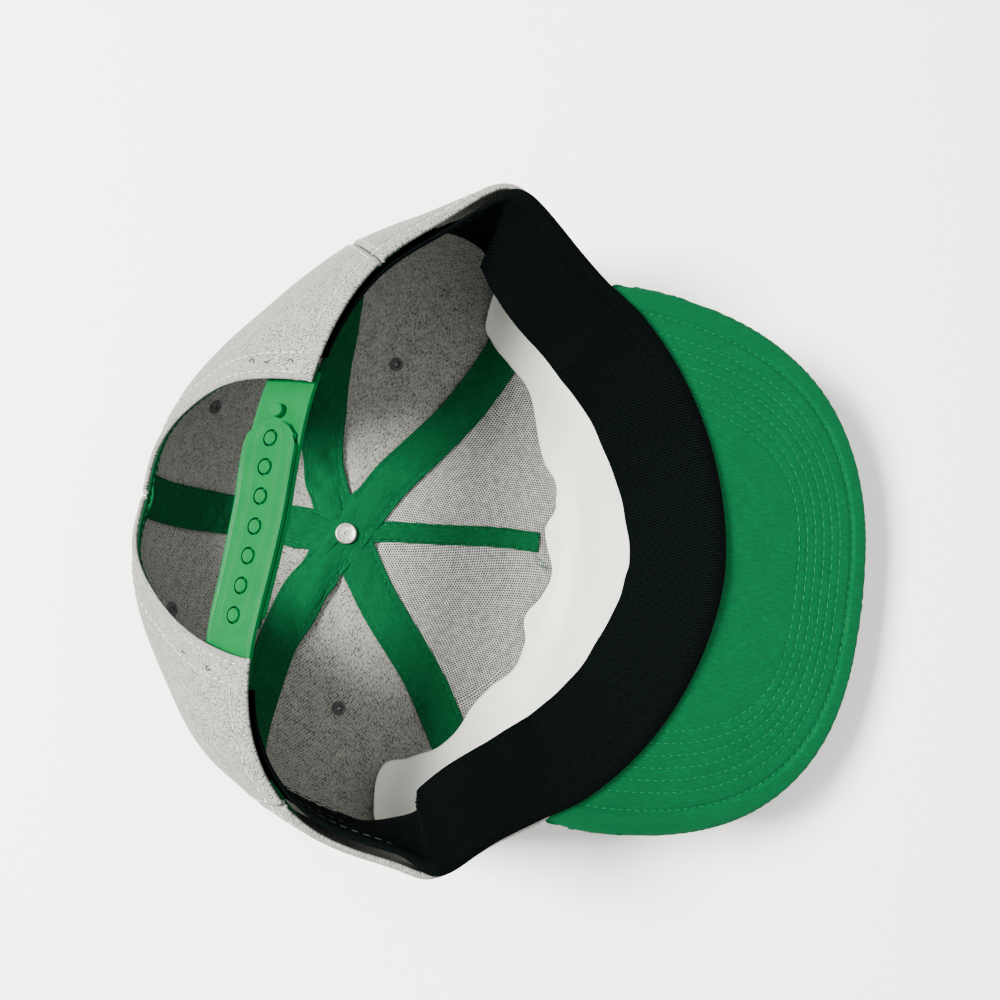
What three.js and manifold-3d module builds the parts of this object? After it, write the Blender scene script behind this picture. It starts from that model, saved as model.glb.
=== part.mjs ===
// Snapback cap lying upside down on its crown: millimetres, +X toward the visor, +Z up, floor at zero.
import * as THREE from 'three';
import { mergeVertices } from 'three/addons/utils/BufferGeometryUtils.js';
import Module from 'manifold-3d';

const wasm = await Module();
wasm.setup();

// Sizes of the crown
const LENGTH = 156; // rim, front seam to back edge
const HALF_WIDTH = 92; // rim, middle to side
const HEIGHT = 114; // floor to the back of the rim
const CLOTH = 1.2; // crown fabric
const LINING = 1.0; // mesh backing and seam tapes
const BAND_THICK = 1.2;
const GAP = 0.3; // between pieces that touch
const SEAM_GAP = 0.15; // each panel stands back this far from its seam
const TAPE_WIDTH = 14.5;
const FRONT_TAPE_WIDTH = 7.2;
const BAND_WIDTH = 30.5;

// Sizes of the visor
const VISOR_REACH = 70;
const VISOR_HALF_WIDTH = 88.5;
const VISOR_WIDEST_BACK = 34; // the widest place lies this far behind the front seam's middle
const VISOR_TUCK = 1.5; // the covers start this far inside the rim before they are cut to it
const VISOR_COVER = 1.9;
const VISOR_BORDER = 8;
const VISOR_GROOVE = 0.45;

// Sizes of the strap and small pieces
const STRAP_WIDTH = 19.5;
const STRAP_IN = 0.8; // from the rim to the strap's edge
const STRAP_THICK = 1.25;
const STRAP_TUCK = 8; // under the cloth at either end
const STRAP_TUCK_LEFT = 6;
const LAP_START = 13; // the pegged strap shows this far before the other one's end
const HOLE_PITCH = 8.9;
const HOLE_COUNT = 7;
const HOLE_TO_END = 5.8;
const PEG_RADIUS = 2.2;
const HOLE_RADIUS = 2.75;
const BUTTON_RADIUS = 7;
const RIVET_RADIUS = 3.7;
const EYELET_RADIUS = 2.6;
const EYELET_HOLE = 0.9;
const EYELET_THICK = 0.45;

// A short table: its first row names the columns
function table(names, ...rows) {
  return rows.map((row) => Object.fromEntries(row.map((value, i) => [names[i], value])));
}

// Crown sections from the button to the rim. Lengths are shares of LENGTH from the middle of the rim,
// widths shares of HALF_WIDTH, heights shares of HEIGHT; a height below zero is pressed flat by the floor.
const SECTIONS = table(
  ['share', 'front', 'back', 'wide', 'half', 'pinch', 'zFront', 'zSide', 'zBack'],
  [0.00, -0.295, -0.295, -0.295, 0.000, 1.00, 0.046, 0.046, 0.046],
  [0.14, -0.105, -0.445, -0.290, 0.280, 1.00, 0.008, 0.030, 0.046],
  [0.30, 0.120, -0.572, -0.255, 0.570, 1.00, -0.022, 0.024, 0.105],
  [0.44, 0.250, -0.655, -0.215, 0.830, 1.00, 0.030, 0.072, 0.237],
  [0.56, 0.301, -0.714, -0.180, 1.015, 1.00, 0.190, 0.193, 0.377],
  [0.67, 0.353, -0.727, -0.150, 1.125, 1.00, 0.312, 0.370, 0.509],
  [0.78, 0.407, -0.683, -0.125, 1.139, 1.02, 0.381, 0.560, 0.640],
  [0.89, 0.455, -0.609, -0.095, 1.083, 1.06, 0.443, 0.725, 0.820],
  [1.00, 0.500, -0.478, -0.064, 1.000, 1.10, 0.500, 0.876, 1.000],
);

// Folds, dents and fuller places: where each one is (degrees round from the front, share of the way to
// the rim), how far it reaches, and how far it moves the cloth out and up in shares of HALF_WIDTH
const FOLDS = table(
  ['place', 'turn', 'share', 'turnReach', 'shareReach', 'out', 'up'],
  ['right side corner', 93, 1.02, 15, 0.16, 0.116, 0.066],
  ['right corner point', 93, 1.02, 7, 0.12, 0.022, 0],
  ['left side corner', -93, 1.02, 15, 0.16, 0.044, 0.088],
  ['left corner point', -90, 1.02, 7, 0.12, 0.047, 0],
  ['left back fullness', -122, 1.02, 26, 0.2, 0.2, 0],
  ['right back fullness', 124, 1.02, 24, 0.2, 0.057, 0],
  ['left rear edge', -146, 1.02, 16, 0.2, 0.042, 0],
  ['left rear fullness', -135, 0.8, 16, 0.16, 0.041, 0],
  ['right side flat', 112, 0.84, 22, 0.14, -0.021, 0],
  ['flat behind the strap', 180, 1, 26, 0.12, -0.065, 0],
  ['right back flat', 136, 0.66, 22, 0.24, -0.08, 0],
  ['left back flat', -142, 0.62, 18, 0.2, -0.035, 0],
  ['left back bulge', -163, 0.66, 16, 0.2, 0.032, 0],
  ['left side flat', -112, 0.84, 22, 0.14, -0.088, 0],
  ['dent in the right seam', 121, 0.46, 9, 0.1, -0.033, 0.054],
  ['dent in the left seam', -121, 0.6, 9, 0.12, -0.054, 0.033],
  ['gather by the button', -120, 0.13, 16, 0.05, 0, 0.017],
);

// Seams between panels, degrees round from the front at the button and at the rim, and their bend between
const SEAMS = {
  front: { top: 13, rim: 0, bend: -2 },
  rightFront: { top: 62, rim: 64, bend: 0 },
  rightBack: { top: 124, rim: 127, bend: -13 },
  back: { top: 180, rim: 180, bend: 0 },
  leftBack: { top: -121, rim: -125, bend: 0 },
  leftFront: { top: -61, rim: -63, bend: 0 },
};

// The arch cut out of the two back panels
const ARCH = { depth: 0.372, right: 24.8, left: 30.3, square: 1.28 };

const rad = THREE.MathUtils.degToRad;
const lerp = THREE.MathUtils.lerp;
const clamp = THREE.MathUtils.clamp;

// One smooth value through the rows of the section table
function sectionValue(name, share) {
  const rows = SECTIONS;
  let i = 0;
  while (i < rows.length - 2 && share > rows[i + 1].share) i += 1;
  const a = rows[i];
  const b = rows[i + 1];
  const before = rows[Math.max(i - 1, 0)];
  const after = rows[Math.min(i + 2, rows.length - 1)];
  const step = b.share - a.share;
  const k = (share - a.share) / step;
  const slopeA = i === 0 ? (b[name] - a[name]) / step : (b[name] - before[name]) / (b.share - before.share);
  const slopeB = after === b ? (b[name] - a[name]) / step : (after[name] - a[name]) / (after.share - a.share);
  const k2 = k * k;
  const k3 = k2 * k;
  return (2 * k3 - 3 * k2 + 1) * a[name] + (k3 - 2 * k2 + k) * step * slopeA
    + (3 * k2 - 2 * k3) * b[name] + (k3 - k2) * step * slopeB;
}

function turnBetween(a, b) {
  return ((a - b + 540) % 360) - 180;
}

// A point of the crown's outer face, from a turn round the crown and a share of the way to the rim
function crownPoint(turn, share) {
  const c = Math.cos(rad(turn));
  const s = Math.sin(rad(turn));
  const wide = sectionValue('wide', share);
  const end = sectionValue(c >= 0 ? 'front' : 'back', share);
  const reach = Math.abs(end - wide) * LENGTH;
  const half = sectionValue('half', share) * HALF_WIDTH;
  const zSide = sectionValue('zSide', share);
  const zEnd = sectionValue(c >= 0 ? 'zFront' : 'zBack', share);
  const point = new THREE.Vector3(
    wide * LENGTH + reach * c,
    half * Math.sign(s) * Math.abs(s) ** sectionValue('pinch', share),
    (zSide + (zEnd - zSide) * Math.abs(c)) * HEIGHT,
  );
  for (const fold of FOLDS) {
    const a = turnBetween(turn, fold.turn) / fold.turnReach;
    const b = (share - fold.share) / fold.shareReach;
    const size = Math.exp(-a * a - b * b);
    point.x += c * fold.out * size * HALF_WIDTH;
    point.y += s * fold.out * size * HALF_WIDTH;
    point.z += fold.up * size * HALF_WIDTH;
  }
  point.z = Math.max(point.z, 0);
  return point;
}

// The same face laid out as a flat disc, so pieces can cross the button
function discPoint(p, q) {
  return crownPoint(THREE.MathUtils.radToDeg(Math.atan2(q, p)), Math.hypot(p, q));
}

function discNormal(p, q) {
  const d = 0.004;
  const along = discPoint(p + d, q).sub(discPoint(p - d, q));
  const across = discPoint(p, q + d).sub(discPoint(p, q - d));
  return along.cross(across).normalize();
}

// A point at some depth below the outer face, toward the inside of the cap
function layerPoint(p, q, depth) {
  return discPoint(p, q).addScaledVector(discNormal(p, q), depth);
}

function disc(turn, share) {
  return [share * Math.cos(rad(turn)), share * Math.sin(rad(turn))];
}

// Share of the way to the rim that lies a given distance in from the rim
function shareFromRim(turn, distance, start = 1) {
  let share = start;
  let left = distance;
  let last = crownPoint(turn, share);
  while (left > 0 && share > 0.05) {
    const next = crownPoint(turn, share - 0.005);
    const step = next.distanceTo(last);
    if (step >= left) return share - 0.005 * (left / step);
    left -= step;
    share -= 0.005;
    last = next;
  }
  return share;
}

// Walk over the face from a disc point, a distance to one side of a direction
function walk(p, q, dirP, dirQ, distance) {
  const steps = 6;
  let [x, y] = [p, q];
  const d = 0.004;
  let heading = null;
  for (let i = 0; i < steps; i += 1) {
    const along = discPoint(x + d, y).sub(discPoint(x - d, y)).divideScalar(2 * d);
    const across = discPoint(x, y + d).sub(discPoint(x, y - d)).divideScalar(2 * d);
    const normal = along.clone().cross(across).normalize();
    if (!heading) {
      const tangent = along.clone().multiplyScalar(dirP).addScaledVector(across, dirQ).normalize();
      heading = normal.clone().cross(tangent);
    }
    heading.addScaledVector(normal, -heading.dot(normal)).normalize();
    const target = heading.clone().multiplyScalar(distance / steps);
    const aa = along.dot(along);
    const bb = across.dot(across);
    const ab = along.dot(across);
    const ta = target.dot(along);
    const tb = target.dot(across);
    const det = aa * bb - ab * ab;
    x += (ta * bb - tb * ab) / det;
    y += (tb * aa - ta * ab) / det;
  }
  return [x, y];
}

// A box with divided faces, each corner moved by a rule of its three shares
function shapedBox(columns, rows, layers, rule) {
  const box = new THREE.BoxGeometry(1, 1, 1, columns, rows, layers);
  const position = box.getAttribute('position');
  for (let i = 0; i < position.count; i += 1) {
    const point = rule(position.getX(i) + 0.5, position.getY(i) + 0.5, position.getZ(i) + 0.5);
    position.setXYZ(i, point.x, point.y, point.z);
  }
  return box;
}

function toSolid(geometry) {
  const clean = geometry.clone();
  clean.deleteAttribute('normal');
  clean.deleteAttribute('uv');
  const merged = mergeVertices(clean, 1e-4);
  return new wasm.Manifold(new wasm.Mesh({
    numProp: 3,
    vertProperties: new Float32Array(merged.getAttribute('position').array),
    triVerts: new Uint32Array(merged.index.array),
  }));
}

function toGeometry(solid) {
  const mesh = solid.getMesh();
  const geometry = new THREE.BufferGeometry();
  const count = mesh.vertProperties.length / mesh.numProp;
  const flat = new Float32Array(count * 3);
  for (let i = 0; i < count; i += 1) {
    for (let j = 0; j < 3; j += 1) flat[i * 3 + j] = mesh.vertProperties[i * mesh.numProp + j];
  }
  geometry.setAttribute('position', new THREE.BufferAttribute(flat, 3));
  geometry.setIndex(Array.from(mesh.triVerts));
  return geometry;
}

function cut(geometry, cutters) {
  let solid = toSolid(geometry);
  for (const cutter of cutters) solid = solid.subtract(toSolid(cutter));
  const pieces = solid.decompose().sort((a, b) => b.volume() - a.volume());
  return toGeometry(pieces[0]);
}

const cap = new THREE.Group();
cap.name = 'snapback_cap';
function add(name, geometry, look) {
  const mesh = new THREE.Mesh(geometry, new THREE.MeshStandardMaterial(look));
  mesh.name = name;
  cap.add(mesh);
}

const LOOKS = {
  heather: { color: 0xb9b8b5, roughness: 0.95, metalness: 0 },
  backing: { color: 0xd9dad7, roughness: 0.9, metalness: 0 },
  tape: { color: 0x1d6a45, roughness: 0.85, metalness: 0 },
  twill: { color: 0x12905a, roughness: 0.85, metalness: 0 },
  band: { color: 0x17181a, roughness: 0.9, metalness: 0 },
  card: { color: 0xe9ebe8, roughness: 0.7, metalness: 0 },
  plastic: { color: 0x0fae66, roughness: 0.3, metalness: 0 },
  metal: { color: 0xb7babd, roughness: 0.3, metalness: 0.9 },
  thread: { color: 0x34363a, roughness: 0.9, metalness: 0 },
};

// Crown panels
function seamTurn(seam, share) {
  return lerp(seam.top, seam.rim, clamp(share, 0, 1)) + seam.bend * Math.sin(Math.PI * clamp(share, 0, 1));
}

// A spot on the edge of the arch: a quarter turn of angle goes from the hem to the top of the arch
function archSpot(side, angle) {
  const seam = side === 'right' ? SEAMS.rightBack : SEAMS.leftBack;
  const power = 2 / ARCH.square;
  const wide = Math.cos(angle) ** power;
  const share = 1 - ARCH.depth * Math.sin(angle) ** power;
  const reach = ARCH[side] / (180 - Math.abs(seam.rim));
  const turn = lerp(180, Math.abs(seamTurn(seam, share)), wide * reach);
  return { turn: side === 'right' ? turn : 360 - turn, share, across: wide * reach };
}

// One crown panel between two seams; an arched one runs up only to the edge of the arch
const ROWS = [0.026, 0.09, 0.16, 0.23, 0.3, 0.36, 0.42, 0.48, 0.54, 0.61, 0.7, 0.8, 0.9, 1];
const PANEL_START = ROWS[0];
const ARCH_COLUMNS = 7;
function panel(from, to, columns, arched, thick = CLOTH) {
  const rows = ROWS.length - 1;
  const plain = columns - ARCH_COLUMNS;
  const stations = [];
  for (let i = 0; i <= columns; i += 1) {
    if (!arched) {
      stations.push({ along: i / columns, rim: 1 });
      continue;
    }
    const reach = archSpot(arched, 0).across;
    if (i <= plain) {
      stations.push({ along: (1 - reach) * (i / plain), rim: 1 });
    } else {
      const spot = archSpot(arched, (Math.PI / 2) * ((i - plain) / (columns - plain)));
      stations.push({ along: 1 - spot.across, rim: spot.share });
    }
  }
  if (arched === 'left') {
    stations.reverse();
    for (const station of stations) station.along = 1 - station.along;
  }
  return shapedBox(columns, rows, 1, (u, v, w) => {
    const station = stations[Math.round(u * columns)];
    const row = (ROWS[Math.round(v * rows)] - PANEL_START) / (1 - PANEL_START);
    const share = lerp(PANEL_START, station.rim, row);
    let start = seamTurn(from, share);
    let end = seamTurn(to, share);
    if (end < start) end += 360;
    const radius = Math.max(discPoint(...disc(start, share)).distanceTo(discPoint(0, 0)), 1);
    const inset = THREE.MathUtils.radToDeg(SEAM_GAP / radius) * 1.3;
    start += inset;
    end -= inset;
    return layerPoint(...disc(lerp(start, end, station.along), share), thick * (1 - w));
  });
}

add('front_panel_right', panel(SEAMS.front, SEAMS.rightFront, 8), LOOKS.heather);
add('side_panel_right', panel(SEAMS.rightFront, SEAMS.rightBack, 8), LOOKS.heather);
add('back_panel_right', panel(SEAMS.rightBack, SEAMS.back, 12, 'right'), LOOKS.heather);
add('back_panel_left', panel(SEAMS.back, SEAMS.leftBack, 12, 'left'), LOOKS.heather);
add('side_panel_left', panel(SEAMS.leftBack, SEAMS.leftFront, 8), LOOKS.heather);
add('front_panel_left', panel(SEAMS.leftFront, SEAMS.front, 8), LOOKS.heather);

// A strip of cloth along a line of disc spots, with its own half widths and depths
function strip(spots, halfLeft, halfRight, near, far, acrossCount = 2) {
  const last = spots.length - 1;
  return shapedBox(last, acrossCount, 1, (u, v, w) => {
    const i = Math.round(u * last);
    const [p, q] = spots[i];
    const [p0, q0] = spots[Math.max(i - 1, 0)];
    const [p1, q1] = spots[Math.min(i + 1, last)];
    const side = lerp(-halfRight, halfLeft, v);
    const [x, y] = side === 0 ? [p, q] : walk(p, q, p1 - p0, q1 - q0, side);
    return layerPoint(x, y, lerp(near, far, w));
  });
}

// Seam tapes: one runs from the right front seam over the button to the left back seam, and the others
// stop short of it
const LAYER_TWO = CLOTH + GAP + 0.15;
function seamLine(seam, to) {
  // from the button out to a share of the way to the rim, on the panels' own rows
  const shares = [...ROWS.filter((share) => share < to - 0.02), to];
  return shares.map((share) => disc(seamTurn(seam, share), share));
}

const TAPE_END = 0.8;
const crossSpots = [...seamLine(SEAMS.leftBack, TAPE_END).reverse(), ...seamLine(SEAMS.rightFront, TAPE_END)];
const passSpots = [...seamLine(SEAMS.rightBack, TAPE_END).reverse(), ...seamLine(SEAMS.leftFront, TAPE_END)];
const tapeRows = crossSpots.length / 2;
const roomSpots = (a, b) => [...seamLine(a, TAPE_END + 0.025).reverse(), ...seamLine(b, TAPE_END + 0.025)];
const half = TAPE_WIDTH / 2;
const clear = half + GAP;
const crossTape = strip(crossSpots, half, half, LAYER_TWO, LAYER_TWO + LINING);
const crossRoom = strip(roomSpots(SEAMS.leftBack, SEAMS.rightFront), clear, clear, 0, LAYER_TWO + LINING * 2);
const passRoom = strip(roomSpots(SEAMS.rightBack, SEAMS.leftFront), clear, clear, 0, LAYER_TWO + LINING * 2);
add('seam_tape_across', crossTape, LOOKS.tape);
const passRight = strip(passSpots.slice(0, tapeRows), half, half, LAYER_TWO, LAYER_TWO + LINING);
const passLeft = strip(passSpots.slice(tapeRows), half, half, LAYER_TWO, LAYER_TWO + LINING);
const backArchShare = 1 - ARCH.depth - 0.065;
const BACK_TAPE_RISE = 0.2; // the back panels' rows bend round the arch, so their tape lies this much higher
const backDepth = LAYER_TWO + BACK_TAPE_RISE;
const backTape = strip(seamLine(SEAMS.back, backArchShare), half, half, backDepth, backDepth + LINING);
const narrow = FRONT_TAPE_WIDTH / 2;
const frontTape = strip(seamLine(SEAMS.front, 0.42), narrow, narrow, LAYER_TWO, LAYER_TWO + LINING);
const frontRoom = strip(seamLine(SEAMS.front, 0.42), narrow + GAP, narrow + GAP, 0, LAYER_TWO + LINING * 2);
add('seam_tape_right_back', cut(passRight, [crossRoom]), LOOKS.tape);
add('seam_tape_left_front', cut(passLeft, [crossRoom]), LOOKS.tape);
add('seam_tape_back', cut(backTape, [crossRoom, passRoom]), LOOKS.tape);
add('seam_tape_front', cut(frontTape, [crossRoom, passRoom]), LOOKS.tape);

// Mesh backing of the two front panels, between the tapes
function backing(from, to) {
  const rows = ROWS.slice(1, -1);
  const sheet = shapedBox(8, rows.length - 1, 1, (u, v, w) => {
    const share = rows[Math.round(v * (rows.length - 1))];
    let start = seamTurn(from, share);
    let end = seamTurn(to, share);
    if (end < start) end += 360;
    return layerPoint(...disc(lerp(start, end, u), share), lerp(LAYER_TWO + LINING, LAYER_TWO, w));
  });
  const middle = strip(seamLine(SEAMS.front, 0.99), GAP / 2, GAP / 2, 0, LAYER_TWO + LINING * 2, 1);
  return cut(sheet, [crossRoom, passRoom, frontRoom, middle]);
}
add('front_backing_right', backing(SEAMS.front, SEAMS.rightFront), LOOKS.backing);
add('front_backing_left', backing(SEAMS.leftFront, SEAMS.front), LOOKS.backing);

// White stiffening card inside the front panels, its deep edge cut in waves
const CARD_THICK = 0.8;
const LAYER_THREE = LAYER_TWO + LINING + GAP + 0.5;
const CARD_WAVES = table(
  ['turn', 'share'],
  [-90, 0.62], [-85, 0.5], [-75, 0.463], [-65, 0.456], [-60, 0.44], [-53, 0.406],
  [-44, 0.392], [-35, 0.4], [-29, 0.384], [-21, 0.34], [-11, 0.356], [-4, 0.366],
  [6, 0.345], [12, 0.344], [20, 0.394], [25, 0.406], [31, 0.394], [38, 0.405],
  [44, 0.43], [50, 0.464], [60, 0.476], [68, 0.492], [72, 0.52], [75, 0.62],
);
function cardEdge(turn) {
  let i = 0;
  while (i < CARD_WAVES.length - 2 && turn > CARD_WAVES[i + 1].turn) i += 1;
  const [a, b] = [CARD_WAVES[i], CARD_WAVES[i + 1]];
  const k = clamp((turn - a.turn) / (b.turn - a.turn), 0, 1);
  return lerp(a.share, b.share, (1 - Math.cos(Math.PI * k)) / 2);
}
const CARD_TOP = 0.8;
const cardStart = CARD_WAVES[0].turn;
const cardEnd = CARD_WAVES[CARD_WAVES.length - 1].turn;
add('front_stiffener_card', shapedBox(34, 4, 1, (u, v, w) => {
  const turn = lerp(cardStart, cardEnd, u);
  const share = lerp(cardEdge(turn), CARD_TOP, v);
  return layerPoint(...disc(turn, share), lerp(LAYER_THREE + CARD_THICK, LAYER_THREE, w));
}), LOOKS.card);

// Sweatband sewn at the rim, its deep edge hanging free of the crown at the sides
const BAND_DEPTH = LAYER_THREE + CARD_THICK + GAP + 0.3;
const BAND_LEAN = [
  { turn: 0, down: 39.5 },
  { turn: 60, down: 40 },
  { turn: 80, down: 50 },
  { turn: 96, down: 64 },
  { turn: 150, down: 80 },
];
const BAND_LEAVES = { from: 90, to: 104 }; // the band lies against the crown's wall beyond this turn
function bandDown(turn) {
  const side = Math.abs(turn);
  let i = 0;
  while (i < BAND_LEAN.length - 2 && side > BAND_LEAN[i + 1].turn) i += 1;
  const [a, b] = [BAND_LEAN[i], BAND_LEAN[i + 1]];
  return lerp(a.down, b.down, clamp((side - a.turn) / (b.turn - a.turn), 0, 1));
}
const BAND_TOP = 0.985;
function bandPoint(turn, inward, depth) {
  const here = layerPoint(...disc(turn, BAND_TOP), BAND_DEPTH);
  const before = layerPoint(...disc(turn - 2, BAND_TOP), BAND_DEPTH);
  const after = layerPoint(...disc(turn + 2, BAND_TOP), BAND_DEPTH);
  const along = after.sub(before).normalize();
  const inside = new THREE.Vector3(0, 0, 1).cross(along).normalize();
  const down = rad(bandDown(turn));
  const drop = inside.clone().multiplyScalar(Math.cos(down)).add(new THREE.Vector3(0, 0, -Math.sin(down)));
  const normal = along.clone().cross(drop).normalize();
  here.addScaledVector(drop, inward).addScaledVector(normal, -depth);
  const against = THREE.MathUtils.smoothstep(Math.abs(turn), BAND_LEAVES.from, BAND_LEAVES.to);
  if (against === 0) return here;
  const wall = layerPoint(...disc(turn, shareFromRim(turn, inward, BAND_TOP)), BAND_DEPTH + depth);
  return here.lerp(wall, against);
}
const bandStart = -140;
const bandEnd = 142;
const sweatband = shapedBox(46, 1, 1, (u, v, w) => bandPoint(
  lerp(bandStart, bandEnd, u), BAND_WIDTH * (1 - v), lerp(0, BAND_THICK, w)));
add('sweatband', sweatband, LOOKS.band);

// Narrow binding along the edge of the arch
const BINDING_WIDTH = 1.5;
const BINDING_THICK = 1.9;
const bindingSpots = [];
for (let i = 2; i < ARCH_COLUMNS * 2 - 1; i += 1) {
  const angle = (Math.PI / 2) * (i / ARCH_COLUMNS);
  const side = angle <= Math.PI / 2 ? 'right' : 'left';
  const spot = archSpot(side, side === 'right' ? angle : Math.PI - angle);
  bindingSpots.push(disc(spot.turn, spot.share));
}
const bindingEdge = GAP + 0.1; // clear of the cloth's cut edge
add('arch_binding',
  strip(bindingSpots, -bindingEdge, bindingEdge + BINDING_WIDTH, GAP, GAP + BINDING_THICK), LOOKS.tape);

// Visor: a flat board's two covers, in the plane of the front of the rim
const rimRow = SECTIONS[SECTIONS.length - 1];
const rimFront = (rimRow.front - rimRow.wide) * LENGTH;
const rimFall = (rimRow.zSide - rimRow.zFront) * HEIGHT;
const VISOR_TILT = Math.atan2(rimFall, rimFront);
const VISOR_END_TURN = 67;
const VISOR_SQUARE = 2.5;
const tip = crownPoint(0, 1);
const visorAlong = new THREE.Vector3(Math.cos(VISOR_TILT), 0, -Math.sin(VISOR_TILT));
const visorUp = new THREE.Vector3(Math.sin(VISOR_TILT), 0, Math.cos(VISOR_TILT));
function visorEdge(share) {
  // share 0 is the middle of the front, 1 the end beside the crown
  const turnIn = 0.8;
  const end = crownPoint(VISOR_END_TURN, 1).sub(tip);
  const endAlong = end.dot(visorAlong);
  if (share <= turnIn) {
    const angle = (share / turnIn) * (Math.PI / 2);
    const power = 2 / VISOR_SQUARE;
    const front = VISOR_REACH + VISOR_WIDEST_BACK;
    return [
      front * Math.cos(angle) ** power - VISOR_WIDEST_BACK,
      VISOR_HALF_WIDTH * Math.sin(angle) ** power,
    ];
  }
  const k = (share - turnIn) / (1 - turnIn);
  return [lerp(-VISOR_WIDEST_BACK, endAlong, k), lerp(VISOR_HALF_WIDTH, end.y + GAP * 2, k * k)];
}
function visorPlate(depthTop, depthBottom, stations, groove) {
  return shapedBox(22, stations.length - 1, 1, (u, v, w) => {
    const side = (0.5 - u) * 2;
    const [a1, b1] = visorEdge(Math.abs(side));
    const inner = crownPoint(VISOR_END_TURN * Math.abs(side), 1).sub(tip);
    const [a0, b0] = [inner.dot(visorAlong) - VISOR_TUCK, inner.y - VISOR_TUCK / 2];
    const length = Math.hypot(a1 - a0, b1 - b0);
    const station = stations[Math.round(v * (stations.length - 1))];
    const innermost = length - VISOR_BORDER * Math.min(1.5, length / (VISOR_BORDER * 1.7));
    const fromEdge = station.border === undefined ? length - innermost * station.inner
      : station.border * Math.min(1, length / (VISOR_BORDER * 2.5));
    const k = 1 - fromEdge / length;
    let up = lerp(-depthBottom, -depthTop, w);
    if (w > 0.5) up -= groove * (station.sink ?? 0);
    if (w < 0.5 && station.sinkBelow) up += station.sinkBelow;
    const point = tip.clone().addScaledVector(visorAlong, lerp(a0, a1, k)).addScaledVector(visorUp, up);
    point.y += Math.sign(side) * lerp(b0, b1, k);
    return point;
  });
}
const borderRows = [
  { inner: 0 },
  { inner: 0.5 },
  { inner: 1 },
  { border: VISOR_BORDER * 1.17 },
  { border: VISOR_BORDER, sink: 1 },
  { border: VISOR_BORDER * 0.83 },
  { border: VISOR_COVER / 2 },
  { border: 0, sink: 1.6 },
];
const plainRows = [
  { inner: 0 },
  { inner: 0.6 },
  { border: VISOR_BORDER * 1.17 },
  { border: VISOR_COVER / 2 },
  { border: 0, sinkBelow: VISOR_COVER * 0.37 },
];
const rimRoom = shapedBox(24, 2, 1, (u, v, w) => {
  const share = lerp(0.84, 1.02, v);
  return layerPoint(...disc(lerp(-86, 86, u), share), lerp(8, -0.45, w));
});
const UNDER_TOP = 0.3;
const TOP_COVER_TOP = UNDER_TOP + VISOR_COVER + GAP;
const under = visorPlate(UNDER_TOP, UNDER_TOP + VISOR_COVER, borderRows, VISOR_GROOVE);
const over = visorPlate(TOP_COVER_TOP, TOP_COVER_TOP + VISOR_COVER, plainRows, 0);
add('visor_underside', cut(under, [rimRoom]), LOOKS.twill);
add('visor_top', cut(over, [rimRoom]), LOOKS.twill);

// Plastic straps: the one with holes lies over the one with pegs
const strapLine = [];
for (let turn = 140; turn <= 222; turn += 1) {
  const signed = turn > 180 ? turn - 360 : turn;
  strapLine.push({ turn, share: shareFromRim(signed, STRAP_WIDTH / 2 + STRAP_IN) });
}
let reach = 0;
strapLine.forEach((spot, i) => {
  const before = strapLine[Math.max(i - 1, 0)];
  reach += crownPoint(spot.turn, spot.share).distanceTo(crownPoint(before.turn, before.share));
  spot.reach = reach;
});
const strapMiddle = strapLine[40].reach;
function strapSpot(distance) {
  // distance along the strap from the middle of the back, toward the left side
  const want = strapMiddle + distance;
  let i = 0;
  while (i < strapLine.length - 2 && strapLine[i + 1].reach < want) i += 1;
  const [a, b] = [strapLine[i], strapLine[i + 1]];
  const k = (want - a.reach) / (b.reach - a.reach);
  return disc(lerp(a.turn, b.turn, k), lerp(a.share, b.share, k));
}
const RIDGE = 0.4;
const STRAP_ROWS = [
  { across: -1, raised: 0.6 }, { across: -0.88, raised: 1 }, { across: -0.76, raised: 0 },
  { across: 0.76, raised: 0 }, { across: 0.88, raised: 1 }, { across: 1, raised: 0.6 },
];
function strap(from, to, near, rounded, steps) {
  return shapedBox(steps, STRAP_ROWS.length - 1, 1, (u, v, w) => {
    const row = STRAP_ROWS[Math.round(v * (STRAP_ROWS.length - 1))];
    const halfWidth = STRAP_WIDTH / 2;
    const along = lerp(from, to, u);
    const roundAt = rounded === 'start' ? along - from : to - along;
    const flat = Math.min(roundAt / (halfWidth * 0.9), 1);
    const share = Math.sqrt(Math.max(1 - (1 - flat) ** 2, 0.09));
    const [p, q] = strapSpot(along);
    const [p1, q1] = strapSpot(along + 0.5);
    const [x, y] = walk(p, q, p1 - p, q1 - q, row.across * halfWidth * share);
    const outer = near - RIDGE * row.raised * (w < 0.5 ? 1 : 0);
    return layerPoint(x, y, w < 0.5 ? outer : near + STRAP_THICK);
  });
}
function strapPeg(distance, radius, near, far, sides) {
  const [p, q] = strapSpot(distance);
  const normal = discNormal(p, q);
  const peg = new THREE.CylinderGeometry(radius, radius, far - near, sides);
  peg.applyQuaternion(new THREE.Quaternion().setFromUnitVectors(new THREE.Vector3(0, 1, 0), normal));
  const centre = layerPoint(p, q, (near + far) / 2);
  return peg.translate(centre.x, centre.y, centre.z);
}
const HOLES_DEPTH = LAYER_TWO + RIDGE + 0.35;
const PEGS_DEPTH = HOLES_DEPTH + STRAP_THICK + GAP + RIDGE + 0.1;
function strapReach(turn) {
  const i = Math.floor(turn) - 140;
  return lerp(strapLine[i].reach, strapLine[i + 1].reach, turn % 1) - strapMiddle;
}
const rightEdge = strapReach(180 - ARCH.right);
const leftEdge = strapReach(180 + ARCH.left);
const holesStart = rightEdge + LAP_START;
const firstHole = holesStart + HOLE_TO_END;
const pegsEnd = firstHole + HOLE_PITCH * (HOLE_COUNT - 1) + HOLE_TO_END;
const holeCutters = [];
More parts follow.
